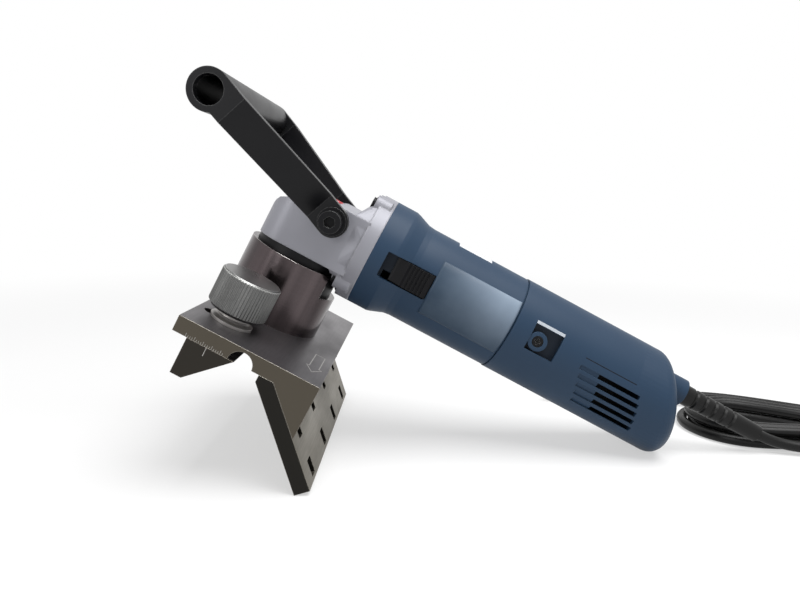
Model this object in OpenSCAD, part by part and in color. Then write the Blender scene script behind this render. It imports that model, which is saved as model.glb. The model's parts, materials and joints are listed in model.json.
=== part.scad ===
// Electric chamfering machine: a straight motor body drives a milling cutter
// through a bevel gear, and a V guide under the head carries it along an edge.
// It is drawn in a tool frame and then laid down as it rests, on the lower
// edge of the guide plate and the heel of the tail.
// Tool frame: X runs along the body to the tail, Z up the spindle, and the
// origin is where the spindle axis meets the top of the base plate.

/* [Base plate] */
// Reach of the plate from the spindle axis to its free edge
plate_left = 31; // [30:0.5:36]
// Reach of the plate from the spindle axis to its wedge edge
plate_right = 51; // [48:0.5:56]
// Length of the plate along the feed direction
plate_l = 184; // [178:1:196]
// Thickness of the plate
plate_t = 9; // [8:0.5:11]
// Drop of the fixed wedge below the top of the plate
wedge_drop = 32; // [28:0.5:36]
// Diameter of the hole that the cutter works through
cutter_hole_d = 44; // [42:0.5:48]
// Radius of the relief channel over the edge of the work
relief_r = 7; // [5:0.5:8]
// Distance of the relief channel from the spindle axis
relief_x = 8; // [6:0.5:10]

/* [Guides] */
// Thickness of the roller guide plate
guide_t = 9; // [8:0.5:11]
// Reach of the guide plate past the tip of the wedge
guide_reach = 29.8; // [26:0.2:34]
// Distance of the guide plate's nose from the spindle axis
nose_x = 19.5; // [18:0.5:21]
// Distance of the guide block's outer face from the spindle axis
block_left = 22.5; // [21:0.5:25]
// Drop of the guide block below the top of the plate
block_drop = 30; // [26:0.5:32]
// Width of the flat foot of the guide block
block_foot = 6.5; // [5:0.5:8]

/* [Rollers] */
// Diameter of a guide roller
roller_d = 8; // [7:0.2:9]
// Length of a guide roller
roller_l = 9.4; // [8:0.2:11]
// Height that a roller stands proud of the guide face
roller_proud = 1.4; // [1:0.1:2]
// Diameter of a roller axle
axle_d = 3; // [2.5:0.1:4]
// Pitch of the roller columns along the plate
column_pitch = 49; // [42:0.5:53]
// Distance of the first roller row from the lower end of the guide plate
row_start = 7; // [6.5:0.1:8]
// Pitch of the roller rows along the slant
row_pitch = 23; // [20:0.5:24]

/* [Clamp knob] */
// Distance of the knob from the spindle axis, towards the free edge
knob_x = 10.8; // [9:0.2:12]
// Distance of the knob from the spindle axis, along the plate
knob_y = 60; // [56:0.5:66]
// Outer diameter of the knob
knob_d = 34.5; // [30:0.5:40]
// Height of the knob
knob_h = 22; // [18:0.5:28]
// Number of flutes in the knurl
knob_flutes = 60; // [36:4:80]
// Base diameter of the washer under the knob
washer_d = 25; // [22:0.5:28]
// Height of the washer under the knob
washer_h = 6.5; // [5:0.5:9]
// Diameter of the clamp stud
stud_d = 8; // [6:0.5:10]

/* [Collar and sleeve] */
// Outer diameter of the split collar
collar_d = 64.4; // [63:0.2:66]
// Height of the collar above the plate
collar_h = 42.5; // [40:0.5:43.5]
// Outer diameter of the sleeve that the collar grips
sleeve_d = 57; // [56:0.2:58]
// Height of the lower end of the sleeve above the plate
sleeve_z = 18; // [16:0.5:21]
// Width of the split in the collar
split_w = 2.5; // [1.5:0.1:4]
// Reach of the clamp ears from the spindle axis
ear_reach = 41; // [39.5:0.5:44]
// Height of the clamp ears
ear_h = 14; // [11:0.5:14]
// Diameter of the collar's clamp screw
clamp_screw_d = 5; // [4:0.5:6]
// Distance of the collar's flat from the spindle axis
notch_x = 24.5; // [24:0.5:25]
// Height of the foot of the collar's flat above the plate
notch_z = 27.5; // [26:0.5:28]

/* [Gear case] */
// Height of the underside of the gear case above the plate
case_z = 48.2; // [47.6:0.2:49]
// Distance of the case's nose from the spindle axis
case_nose = 26.4; // [26:0.2:29]
// Half width of the gear case
case_half_w = 31.5; // [30:0.5:32.5]
// Height of the roof of the gear case
case_roof = 84.2; // [84:0.2:87]
// Height of the nose of the gear case
nose_roof = 71.5; // [71:0.5:74]
// Front face of the round flange
flange_x = 31; // [30.5:0.5:32]
// Rear face of the round flange, where the motor housing starts
case_end = 40; // [39.5:0.5:42]
// Radius of the round flange
flange_r = 35; // [34.5:0.1:36]

/* [Motor body] */
// Height of the motor axis above the plate
axis_h = 66.8; // [66.4:0.2:67.6]
// Radius of the barrel of the motor housing
housing_r = 30.8; // [30.6:0.1:32]
// Place of the seam between housing and rear cover
seam_x = 135.8; // [135.4:0.2:139]
// Wall of the rear cover
cover_wall = 3.5; // [3:0.1:4]
// Place of the upper end of the tail
tail_top_x = 241; // [236:1:248]
// Place of the heel of the tail
tail_heel_x = 261.5; // [256:0.5:268]
// Rounding of the tail
tail_round = 9; // [7:0.5:10]
// Height of the cord outlet above the motor axis
outlet_z = 13.6; // [12:0.2:14]
// End of the cord outlet
outlet_x = 258.5; // [255:0.5:266]
// Length of the strain relief outside the outlet
relief_l = 57; // [50:1:60]
// Number of vent slots on each side
vent_count = 5; // [3:1:5]

/* [Switch] */
// Front end of the switch recess
recess_x = 49; // [48.5:0.5:50]
// Length of the switch recess
recess_l = 32; // [30:0.5:33]
// Height of the switch recess
recess_h = 15.8; // [14.6:0.2:17]
// Travel of the switch slider
switch_travel = 6; // [4:0.5:7]

/* [Handle] */
// Distance of the handle pivot behind the spindle axis
pivot_x = 11.8; // [10.6:0.2:13]
// Height of the handle pivot above the plate
pivot_z = 74.8; // [73.6:0.2:75]
// Length of the handle from pivot to grip axis
handle_l = 89.4; // [84:0.2:100]
// Rise of the handle above the horizontal
handle_rise = 22; // [10:1:40]
// Distance between the outer faces of the grip ends
handle_w = 158; // [140:1:170]
// Outer diameter of the grip tube
grip_d = 23.2; // [22:0.2:27]
// Bore of the grip tube
grip_bore = 16; // [12:0.5:17.5]
// Thickness of a handle arm
arm_t = 6; // [5:0.2:8]
// Width of a handle arm
arm_w = 19; // [17:0.5:20.5]
// Diameter of a pivot bolt
bolt_d = 8; // [6:0.5:9]

/* [Drive] */
// Teeth of the bevel pinion
pinion_teeth = 11; // [11:1:11]
// Teeth of the crown gear
crown_teeth = 37; // [37:1:37]
// Distance from the gears' common apex to the outer ends of the teeth
cone_out = 21.5; // [21:0.1:21.6]
// Distance from the apex to the inner ends of the teeth
cone_in = 14.5; // [13.5:0.1:16]
// Diameter of the armature shaft
shaft_d = 8; // [7:0.2:9]
// Diameter of the spindle in its bearing
spindle_d = 12; // [11:0.2:13]
// Outer diameter of the stator
stator_d = 53; // [51:0.2:53]
// Outer diameter of the armature core
core_d = 34; // [30:0.2:34.4]
// Outer diameter of the cooling fan
fan_d = 49; // [44:0.5:51]

/* [Cutter] */
// Diameter of the cutter at its inserts
cutter_d = 38; // [36:0.2:39]
// Depth of the insert edges below the top of the plate
cutter_depth = 6; // [5:0.2:6.4]
// Number of inserts
insert_count = 3; // [2:1:4]
// Edge length of a square insert
insert_s = 8.5; // [7:0.1:9]
// Thickness of an insert
insert_t = 3.2; // [2.6:0.1:3.6]

/* [Cord] */
// Diameter of the cord
cord_d = 7; // [6:0.1:7.2]
// Length of the hank's straight runs
run_l = 112; // [106:1:120]
// Radius of the hank's tightest fold
fold_r = 21; // [21:0.5:24]
// Step from one loop of the hank to the next
loop_pitch = 7.9; // [7.9:0.1:8.4]
// Amount by which the tie draws each run in at the waist
waist_draw = 10; // [6:0.5:10]

/* [Hidden] */
$fn = 48;
round_fn = 32;
eps = 0.01;
half = sqrt(0.5);
run_gap = 0.05;
seat_gap = 0.02;
move_gap = 0.3;

// Faces of the V guide, as sums and differences of X and Z
guide_out = plate_right - wedge_drop;
guide_in = guide_out - guide_t / half;
wedge_top_x = guide_out + plate_t;
block_tip = -block_left + block_foot + block_drop - plate_t;
guide_end = [plate_right + guide_reach * half, -wedge_drop - guide_reach * half];
guide_toe = guide_end - [guide_t * half, guide_t * half];

// Rollers, in the slanted frame of the guide plate
roller_rows = [for (i = [0:2]) guide_reach - row_start - i * row_pitch];
roller_ys = [for (i = [0:3]) (i - 1.5) * column_pitch];
roller_z = -guide_t - roller_proud + roller_d / 2;
window_l = roller_l + 0.6;
window_w = roller_d + 1;
guide_screw_d = 5;
guide_screw_x = roller_rows[1] - row_pitch / 2;
guide_screw_ys = [-column_pitch, 0, column_pitch];
guide_screw_grip = 10;

// Travel of the collar up the sleeve, and of the guide block along the plate
depth_up = 2;
block_out = 12;
block_in = 2;
stud_grip = 12;
knob_z = washer_h + 2 * run_gap;
knob_bore_h = knob_h - 5;

// Sleeve, spindle and bearings
sleeve_r = sleeve_d / 2;
collar_bore_r = sleeve_r + run_gap;
bearing_r = 16;
bearing_w = 10;
bearing_z = 29;
skirt_r = 22.5;
skirt_top = 26;
sleeve_screw_d = 3;
sleeve_screw_r = 23.4;
ear_z = 11;
ear_half_w = 8.5;
gear_room_r = 21.6;
gear_room_top = axis_h + 1.7;
bush_r = 7;
bush_z = axis_h + 3;
bush_h = 5.5;
bush_pin_d = 8;

// Stations along the motor axis
front_bearing_r = 11;
front_bearing_w = 7;
front_bearing_x = 26.5;
fan_room_r = 26.6;
fan_room_end = case_end + 14;
fan_x = case_end + 2;
core_x = case_end + 29;
core_l = 40;
commutator_d = 24;
commutator_x = core_x + core_l + 10.5;
commutator_l = 12.5;
brush_room_x = core_x + core_l + 9;
brush_room_r = 22.8;
rear_wall_x = seam_x + 1;
rear_wall_w = 12;
rear_bearing_r = 9.5;
rear_bearing_w = 6;
rear_bearing_x = rear_wall_x + 3;
rear_pin_d = 7;
spigot_l = 7;
frame_end = seam_x + 22;
frame_r = 25.3;
stator_flat = 22.2;
nose_pin_d = 5;
case_screw_d = 4;
case_screw_r = 31.2;
case_lug_r = 6.3;
case_screw_head_d = 8;

// Rear cover and its pockets
cover_r = housing_r + 0.5;
cover_bore_r = cover_r - cover_wall;
pocket_x = seam_x + 11.7;
pocket_l = 19;
pocket_z0 = -5;
pocket_h = 16.7;
pocket_y = 25.6;
screw_boss_d = 12;
screw_boss_x = seam_x + 17.5;
screw_boss_z = 2;
cover_screw_d = 3.5;
vent_x = seam_x + 60.2;
vent_l = 28;
vent_h = 2.8;
vent_pitch = 5.1;
vent_shift = 1.9;
vent_top = 1;
flute_l = 13;
flute_cut = 0.9;
outlet_r = 9.2;
gland_r = 5.4;
sleeve_end_r = 5.6;
sleeve_start_r = 6.8;
tail_dx = (tail_heel_x - tail_top_x) / 2;
tail_dz = cover_r - tail_round;
tail_mid_x = (tail_heel_x + tail_top_x) / 2 - tail_round;
tail_lean = atan2(tail_dx, tail_dz);
tail_ring_r = norm([tail_dx, tail_dz]);

// Switch slider, rod and block
recess_floor = housing_r - 2.9;
rod_y = [22.5, 24.3];
rod_z = [-8, -4.2];
rod_end = seam_x + 20;
block_x = seam_x + 26;
block_l = 30;
block_y = [8, 22.8];
block_z = [-13, 5];
shelf_t = 4;

// Handle fittings
arm_in = case_half_w + 1.8;
boss_half_w = arm_in - move_gap;
boss_r = 9;
arm_out = arm_in + arm_t;
bolt_washer_d = 17;
bolt_washer_t = 1.6;
bolt_head_d = 13;
bolt_head_h = 10;
bolt_grip = 12;
socket_af = 6;
grip_half = handle_w / 2 - arm_t;

// Spindle lock button
button_x = 4.5;
button_y = 10;
button_d = 9;
button_stem_d = 5;
button_travel = 3;
button_top = case_roof;
button_head_h = 4.4;
button_tip = axis_h + 1.2;

// Bevel gear angles about the common apex
pinion_cone = atan2(pinion_teeth, crown_teeth);
crown_cone = 90 - pinion_cone;
tooth_module = 2 * cone_out * sin(pinion_cone) / pinion_teeth;
tooth_up = atan(0.85 * tooth_module / cone_out);
tooth_down = atan(1.15 * tooth_module / cone_out);
tooth_sink = 0.8;
crown_h = 15;

// Resting pose: the toe of the guide plate and the heel of the tail touch down
heel = [tail_mid_x + tail_dx, axis_h - tail_dz];
stance = heel - guide_toe;
tilt = atan2(stance[1], stance[0]) - asin(tail_round / norm(stance));
function laid(p) = [p[0] * cos(tilt) + p[1] * sin(tilt), -p[0] * sin(tilt) + p[1] * cos(tilt)];
rest_z = -laid(guide_toe)[1];
relief_end = [outlet_x + relief_l, axis_h + outlet_z];
handle_eye = [pivot_x - handle_l * cos(handle_rise), pivot_z + handle_l * sin(handle_rise)];
low_x = min(laid([-block_left, -block_drop])[0], laid([-plate_left, -plate_t])[0],
            laid(handle_eye)[0] - grip_d / 2);
high_x = laid(relief_end + [0, sleeve_end_r])[0];
rest_x = -(low_x + high_x) / 2;
cord_start = laid(relief_end) + [rest_x, rest_z];

// Frames and small shapes
module tool() {
  translate([rest_x, 0, rest_z]) rotate([0, tilt, 0]) children();
}
module motor_axis(x) {
  translate([x, 0, axis_h]) rotate([0, 90, 0]) children();
}
module on_slant() {
  translate([plate_right, 0, -wedge_drop]) rotate([0, 45, 0]) children();
}
module handle_frame() {
  translate([pivot_x, 0, pivot_z]) rotate([0, 180 + handle_rise, 0]) children();
}
module along_y(l) {
  rotate([90, 0, 0]) linear_extrude(height = l, center = true) children();
}
module bar_y(r, l) {
  rotate([90, 0, 0]) cylinder(r = r, h = l, center = true);
}
module pin_y(r, y0, y1) {
  translate([0, y0, 0]) rotate([-90, 0, 0]) cylinder(r = r, h = y1 - y0);
}
module both_sides() {
  children();
  mirror([0, 1, 0]) children();
}
module ring(r_out, r_in, h) {
  difference() {
    cylinder(r = r_out, h = h);
    translate([0, 0, -1]) cylinder(r = r_in, h = h + 2);
  }
}

// Base plate with its fixed wedge, the cutter hole and the relief channel
module knob_slot() {
  reach_out = -knob_x - block_out;
  reach_in = -knob_x + block_in;
  slot_r = stud_d / 2 + 0.25;
  for (x = [reach_out, reach_in])
    translate([x, -knob_y, -plate_t - 1]) cylinder(r = slot_r, h = plate_t + 2);
  translate([reach_out, -knob_y - slot_r, -plate_t - 1])
    cube([reach_in - reach_out, 2 * slot_r, plate_t + 2]);
}
module base_plate() {
  color("dimgray") tool() difference() {
    along_y(plate_l) polygon([
      [-plate_left, 0], [plate_right, 0], [plate_right, -wedge_drop],
      [wedge_top_x, -plate_t], [-plate_left, -plate_t]]);
    translate([0, 0, -plate_t - 1]) cylinder(d = cutter_hole_d, h = plate_t + 2);
    translate([relief_x, 0, -plate_t]) bar_y(relief_r, plate_l + 2);
    knob_slot();
    on_slant() for (y = guide_screw_ys)
      translate([guide_screw_x, y, -1])
        cylinder(d = guide_screw_d + 2 * seat_gap, h = guide_screw_grip + 1.5);
  }
}

// Guide plate: a slab at 45 degrees with windows for the rollers
module guide_plate() {
  color("slategray") tool() difference() {
    along_y(plate_l) polygon([
      [wedge_top_x, -plate_t], guide_end, guide_toe,
      [nose_x, guide_in - nose_x], [nose_x, -plate_t]]);
    on_slant() {
      for (x = roller_rows, y = roller_ys)
        translate([x - window_l / 2, y - window_w / 2, -guide_t - 1])
          cube([window_l, window_w, guide_t + 2]);
      for (y = roller_ys)
        translate([roller_rows[2] - row_start, y, roller_z]) rotate([0, 90, 0])
          cylinder(d = axle_d + 2 * seat_gap, h = 3 * row_pitch);
      for (y = guide_screw_ys) translate([guide_screw_x, y, -guide_t - 1]) {
        cylinder(d = guide_screw_d + 2 * run_gap, h = guide_t + 2);
        cylinder(d = 2 * guide_screw_d, h = guide_t / 2 + 1);
      }
    }
  }
}
module guide_plate_screws() {
  color("gray") tool() on_slant() for (y = guide_screw_ys) translate([guide_screw_x, y, 0]) {
    translate([0, 0, -guide_t / 2]) cylinder(d = guide_screw_d, h = guide_t / 2 + guide_screw_grip);
    translate([0, 0, -guide_t + 0.4]) difference() {
      cylinder(d = 2 * guide_screw_d - 4 * run_gap, h = guide_t / 2 - 0.4);
      translate([0, 0, -1]) cylinder(d = guide_screw_d, h = 3, $fn = 6);
    }
  }
}
module roller_axles() {
  axle_l = roller_rows[0] - roller_rows[2] + 2 * row_start - 2;
  color("silver") tool() on_slant() for (y = roller_ys)
    translate([roller_rows[2] - row_start + 1, y, roller_z]) rotate([0, 90, 0])
      cylinder(d = axle_d, h = axle_l);
}
module roller_column(y) {
  edge = 0.6;
  color("silver") tool() on_slant() for (x = roller_rows)
    translate([x - roller_l / 2, y, roller_z]) rotate([0, 90, 0]) rotate_extrude() polygon([
      [axle_d / 2 + run_gap, 0], [roller_d / 2 - edge, 0], [roller_d / 2, edge],
      [roller_d / 2, roller_l - edge], [roller_d / 2 - edge, roller_l],
      [axle_d / 2 + run_gap, roller_l]]);
}
module guide_rollers_1() { roller_column(roller_ys[0]); }
module guide_rollers_2() { roller_column(roller_ys[1]); }
module guide_rollers_3() { roller_column(roller_ys[2]); }
module guide_rollers_4() { roller_column(roller_ys[3]); }

// Guide block, which slides under the plate and is held by the clamp knob
module guide_block() {
  top = -plate_t - run_gap;
  color("dimgray") tool() difference() {
    along_y(plate_l) polygon([
      [-block_left, top], [-block_left, -block_drop],
      [-block_left + block_foot, -block_drop], [block_tip - run_gap, top]]);
    translate([-knob_x, -knob_y, top - stud_grip]) cylinder(d = stud_d + 2 * seat_gap, h = stud_grip + 1);
  }
}
module clamp_stud() {
  foot = -plate_t - run_gap - stud_grip;
  color("silver") tool() translate([-knob_x, -knob_y, foot])
    cylinder(d = stud_d, h = knob_z + knob_bore_h - 1 - foot);
}
module knob_washer() {
  neck_r = washer_d / 2 - 3;
  bore_r = stud_d / 2 + run_gap;
  color("silver") tool() translate([-knob_x, -knob_y, run_gap]) rotate_extrude() polygon([
    [bore_r, 0], [washer_d / 2, 0], [washer_d / 2, 1.6], [neck_r + 0.9, 2.8],
    [neck_r, 4], [neck_r, washer_h], [bore_r, washer_h]]);
}
module clamp_knob() {
  rim = 1;
  flute = 0.45;
  knob_r = knob_d / 2;
  color("lightgray") tool() translate([-knob_x, -knob_y, knob_z]) difference() {
    intersection() {
      linear_extrude(height = knob_h) polygon([for (i = [0:2 * knob_flutes - 1])
        let (r = knob_r - (i % 2) * flute, a = i * 180 / knob_flutes) [r * cos(a), r * sin(a)]]);
      rotate_extrude() polygon([
        [0, 0], [knob_r - 2 * rim, 0], [knob_r, 2 * rim], [knob_r, knob_h - rim],
        [knob_r - rim, knob_h], [0, knob_h]]);
    }
    translate([0, 0, -1]) cylinder(d = stud_d + 2 * run_gap, h = knob_bore_h + 1);
  }
}

// Split collar on the plate: ears and clamp screw at the back, and a flat that
// lets the flange of the gear case pass
ear_screw_x = (collar_d / 2 + ear_reach) / 2;
ear_screw_z = ear_z + ear_h / 2;
module collar() {
  color("rosybrown") tool() difference() {
    union() {
      cylinder(d = collar_d, h = collar_h);
      rotate([0, 0, 90]) translate([collar_bore_r + 1, -ear_half_w, ear_z])
        cube([ear_reach - collar_bore_r - 1, 2 * ear_half_w, ear_h]);
    }
    translate([0, 0, -1]) cylinder(r = collar_bore_r, h = collar_h + 2);
    translate([notch_x, -collar_d, notch_z]) cube([collar_d, 2 * collar_d, collar_h]);
    rotate([0, 0, 90]) {
      translate([0, -split_w / 2, -1]) cube([ear_reach + 1, split_w, collar_h + 2]);
      translate([ear_screw_x, 0, ear_screw_z]) {
        bar_y(clamp_screw_d / 2 + run_gap, 2 * ear_half_w + 2);
        pin_y(clamp_screw_d * 0.85, -ear_half_w - 1, -ear_half_w + 3);
      }
    }
  }
}
module collar_screw() {
  head_r = clamp_screw_d * 0.8;
  color("black") tool() rotate([0, 0, 90]) translate([ear_screw_x, 0, ear_screw_z]) difference() {
    union() {
      pin_y(clamp_screw_d / 2, -ear_half_w + 2, ear_half_w);
      pin_y(head_r, -ear_half_w - 2, -ear_half_w + 3);
    }
    translate([0, -ear_half_w - 3, 0]) rotate([-90, 0, 0])
      cylinder(r = head_r * 0.58, h = 3.5, $fn = 6);
  }
}

// Black sleeve under the gear case: the collar grips it, the lower bearing sits in it
module sleeve_screw_spots() {
  for (a = [60, 120, 240, 300]) rotate([0, 0, a]) translate([sleeve_screw_r, 0, 0]) children();
}
module sleeve() {
  lip_r = spindle_d / 2 + 3;
  seat_r = bearing_r + seat_gap;
  bearing_top = bearing_z + bearing_w;
  color("#222222") tool() difference() {
    rotate_extrude() polygon([
      [skirt_r, sleeve_z], [sleeve_r, sleeve_z], [sleeve_r, case_z], [bearing_r + 2, case_z],
      [bearing_r + 2, bearing_top], [seat_r, bearing_top], [seat_r, bearing_z],
      [lip_r, bearing_z], [lip_r, skirt_top], [skirt_r, skirt_top]]);
    sleeve_screw_spots() {
      translate([0, 0, sleeve_z - 1]) cylinder(d = 2 * sleeve_screw_d - 0.2, h = case_z - 6 - sleeve_z + 1);
      translate([0, 0, sleeve_z]) cylinder(d = sleeve_screw_d + 2 * run_gap, h = case_z);
    }
  }
}
module sleeve_screws() {
  color("gray") tool() sleeve_screw_spots() {
    translate([0, 0, case_z - 6]) cylinder(d = sleeve_screw_d, h = 16);
    translate([0, 0, case_z - 8.5]) difference() {
      cylinder(d = 2 * sleeve_screw_d - 0.6, h = 2.5);
      translate([0, 0, -1]) cylinder(d = sleeve_screw_d, h = 2.4, $fn = 6);
    }
  }
}

// Spindle with its bearing, bush, crown gear and milling cutter
nose_r = 7;
cutter_top = 14;
hub_top = 24;
bolt_z = 3;
module spindle() {
  r = spindle_d / 2;
  gear_top = axis_h - 4;
  color("silver") tool() difference() {
    rotate_extrude() polygon([
      [0, bolt_z + 1], [nose_r, bolt_z + 1], [nose_r, hub_top], [r + 2.2, hub_top],
      [r + 2.2, bearing_z], [r, bearing_z], [r, gear_top], [bush_pin_d / 2, gear_top],
      [bush_pin_d / 2, bush_z + bush_h - 0.5], [0, bush_z + bush_h - 0.5]]);
    cylinder(d = 6 + 2 * seat_gap, h = bolt_z + 16);
  }
}
module spindle_bearing() {
  color("gainsboro") tool() translate([0, 0, bearing_z])
    ring(bearing_r, spindle_d / 2 + run_gap, bearing_w);
}
module spindle_bush() {
  color("goldenrod") tool() translate([0, 0, bush_z]) ring(bush_r, bush_pin_d / 2 + run_gap, bush_h);
}
module cutter_head() {
  body_r = cutter_d / 2 - 1;
  bottom = -cutter_depth + 0.6;
  color("gray") tool() difference() {
    rotate_extrude() polygon([
      [nose_r + seat_gap, bolt_z + 1], [nose_r + seat_gap, hub_top], [nose_r + 4, hub_top],
      [nose_r + 4, cutter_top + 2], [body_r - 2, cutter_top], [body_r, cutter_top - 2],
      [body_r, bottom], [5.5, bottom], [5.5, bolt_z - 4], [3 + run_gap, bolt_z - 4],
      [3 + run_gap, bolt_z + 1]]);
    insert_spots() {
      translate([0, -insert_t, -1]) cube([cutter_d, insert_t + 5, insert_s + 1.5]);
      translate([insert_s / 2, -insert_t, insert_s / 2]) rotate([90, 0, 0])
        cylinder(d = 3 + 2 * seat_gap, h = 7);
    }
  }
}
module insert_spots() {
  for (i = [0:insert_count - 1]) rotate([0, 0, 90 + i * 360 / insert_count])
    translate([cutter_d / 2 - insert_s, 0, -cutter_depth]) children();
}
module cutter_inserts() {
  color("khaki") tool() insert_spots() difference() {
    translate([0, -insert_t, 0]) cube([insert_s, insert_t, insert_s]);
    translate([insert_s / 2, 0, insert_s / 2]) bar_y(2 + run_gap, 3 * insert_t);
  }
}
module insert_screws() {
  color("black") tool() insert_spots() translate([insert_s / 2, 0, insert_s / 2]) difference() {
    union() {
      pin_y(1.5, -insert_t - 6, -insert_t);
      pin_y(2, -insert_t, -0.4);
    }
    pin_y(0.9, -1.4, 0);
  }
}
module cutter_bolt() {
  color("black") tool() difference() {
    union() {
      cylinder(d = 6, h = bolt_z + 14);
      translate([0, 0, bolt_z - 8]) cylinder(d = 10, h = 4);
      translate([0, 0, bolt_z - 4 - eps]) cylinder(d = 6, h = 4);
    }
    translate([0, 0, bolt_z - 9]) cylinder(d = 5.8, h = 4, $fn = 6);
  }
}

// Bevel gears: every tooth is a wedge whose long edges run to the common apex
function crown_ray(d, a) = [sin(d) * cos(a), sin(d) * sin(a), -cos(d)];
function pinion_ray(d, a) = [cos(d), sin(d) * sin(a), -sin(d) * cos(a)];
module wedge_tooth(rays) {
  polyhedron(
    points = concat([for (v = rays) v * cone_in], [for (v = rays) v * cone_out]),
    faces = [[0, 1, 2], [0, 2, 3], [6, 5, 4], [7, 6, 4], [0, 4, 5], [0, 5, 1],
             [1, 5, 6], [1, 6, 2], [2, 6, 7], [2, 7, 3], [3, 7, 4], [3, 4, 0]]);
}
module crown_tooth(a) {
  root = crown_cone - tooth_down - tooth_sink;
  tip = crown_cone + tooth_up;
  foot_a = 0.34 * 360 / crown_teeth;
  tip_a = 0.1 * 360 / crown_teeth;
  wedge_tooth([crown_ray(root, a - foot_a), crown_ray(root, a + foot_a),
               crown_ray(tip, a + tip_a), crown_ray(tip, a - tip_a)]);
}
module pinion_tooth(a) {
  root = pinion_cone - tooth_down - tooth_sink;
  tip = pinion_cone + tooth_up;
  foot_a = 0.3 * 360 / pinion_teeth;
  tip_a = 0.08 * 360 / pinion_teeth;
  wedge_tooth([pinion_ray(root, a + foot_a), pinion_ray(root, a - foot_a),
               pinion_ray(tip, a - tip_a), pinion_ray(tip, a + tip_a)]);
}
module crown_gear() {
  root = crown_cone - tooth_down;
  bore_r = spindle_d / 2 + seat_gap;
  inner = [cone_in * sin(root), -cone_in * cos(root)];
  outer = [cone_out * sin(root), -cone_out * cos(root)];
  color("darkgray") tool() translate([0, 0, axis_h]) {
    rotate_extrude() polygon([
      [bore_r, -crown_h], [outer[0] - 4, -crown_h], [outer[0], outer[1] - 2.5], outer, inner,
      [bore_r, inner[1]]]);
    for (i = [0:crown_teeth - 1]) crown_tooth((i + 0.5) * 360 / crown_teeth);
  }
}
module drive_pinion() {
  root = pinion_cone - tooth_down;
  bore_r = nose_pin_d / 2 + seat_gap;
  x_in = cone_in * cos(root);
  x_out = cone_out * cos(root);
  color("darkgray") tool() translate([0, 0, axis_h]) {
    rotate([0, 90, 0]) rotate_extrude() polygon([
      [bore_r, x_in], [cone_in * sin(root), x_in], [cone_out * sin(root), x_out],
      [cone_out * sin(root), front_bearing_x - 1.5], [bore_r, front_bearing_x - 1.5]]);
    for (i = [0:pinion_teeth - 1]) pinion_tooth(i * 360 / pinion_teeth);
  }
}

// Gear case: a cast box with a rounded nose that flares into the round flange
module case_plan() {
  nose_round = 14;
  translate([nose_round - case_nose, -case_half_w])
    square([flange_x + case_nose, 2 * case_half_w]);
  translate([-case_nose, nose_round - case_half_w])
    square([flange_x + case_nose + nose_round, 2 * (case_half_w - nose_round)]);
  for (s = [-1, 1]) translate([nose_round - case_nose, s * (case_half_w - nose_round)])
    circle(r = nose_round);
}
module case_side() {
  polygon([
    [-case_nose, case_z], [0.3 - case_nose, nose_roof - 5], [1.2 - case_nose, nose_roof - 2],
    [3 - case_nose, nose_roof + 0.8], [6.5 - case_nose, nose_roof + 2.6],
    [pivot_x - 2, case_roof], [flange_x + 1, case_roof], [flange_x + 1, case_z]]);
}
module case_screw_spots() {
  for (a = [28, 135, 225, 332]) rotate([a, 0, 0]) translate([0, 0, case_screw_r]) children();
}
module gear_case() {
  neck_x = pivot_x + boss_r;
  neck_l = 2;
  neck_in = 1.2;
  pinion_room_r = cone_out * sin(pinion_cone) + 3;
  color("silver") tool() difference() {
    union() {
      intersection() {
        along_y(4 * case_half_w) case_side();
        translate([0, 0, case_z - 10]) linear_extrude(height = case_roof) case_plan();
      }
      difference() {
        hull() {
          translate([neck_x, neck_in - case_half_w, case_z + neck_in])
            cube([neck_l, 2 * (case_half_w - neck_in), case_roof - case_z - 2 * neck_in]);
          motor_axis(flange_x) cylinder(r = flange_r - neck_in, h = neck_l, $fn = round_fn);
        }
        cylinder(r = sleeve_r + move_gap, h = case_z + 0.8);
        intersection() {
          cylinder(d = collar_d + 2 * move_gap, h = collar_h + depth_up + move_gap);
          translate([0, -collar_d, 0]) cube([notch_x + move_gap, 2 * collar_d, case_z]);
        }
      }
      motor_axis(flange_x) cylinder(r = flange_r, h = case_end - flange_x);
      translate([pivot_x, 0, pivot_z]) bar_y(boss_r, 2 * boss_half_w);
      translate([0, 0, axis_h]) case_screw_spots() rotate([0, 90, 0])
        translate([0, 0, flange_x - 3]) cylinder(r = case_lug_r, h = case_end - flange_x + 1);
      translate([button_x, button_y, case_roof - 8]) cylinder(d = button_d + 5, h = 6);
    }
    translate([0, 0, case_z - 1]) cylinder(r = gear_room_r, h = gear_room_top - case_z + 1);
    translate([0, 0, gear_room_top - 2])
      cylinder(r = bush_r + seat_gap, h = bush_z + bush_h - gear_room_top + 2.3);
    motor_axis(0) cylinder(r = pinion_room_r, h = flange_x);
    motor_axis(front_bearing_x) cylinder(r = front_bearing_r + seat_gap, h = case_end);
    motor_axis(case_end - 4) cylinder(r = fan_room_r, h = 10);
    both_sides() translate([pivot_x, 0, pivot_z])
      pin_y(bolt_d / 2 + seat_gap, boss_half_w - bolt_grip, arm_out);
    translate([0, 0, axis_h]) case_screw_spots() rotate([0, 90, 0]) {
      cylinder(d = case_screw_d + 2 * run_gap, h = case_end + 1);
      translate([0, 0, flange_x - 7]) cylinder(d = case_screw_head_d + 0.6, h = 5);
    }
    sleeve_screw_spots() translate([0, 0, case_z - 1]) cylinder(d = sleeve_screw_d + 2 * seat_gap, h = 12);
    translate([button_x, button_y, axis_h]) cylinder(d = button_stem_d + 2 * run_gap, h = case_roof);
    translate([button_x, button_y, button_top - button_head_h - button_travel - 0.5])
      cylinder(d = button_d + 4 * run_gap, h = 20);
  }
}
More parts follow.
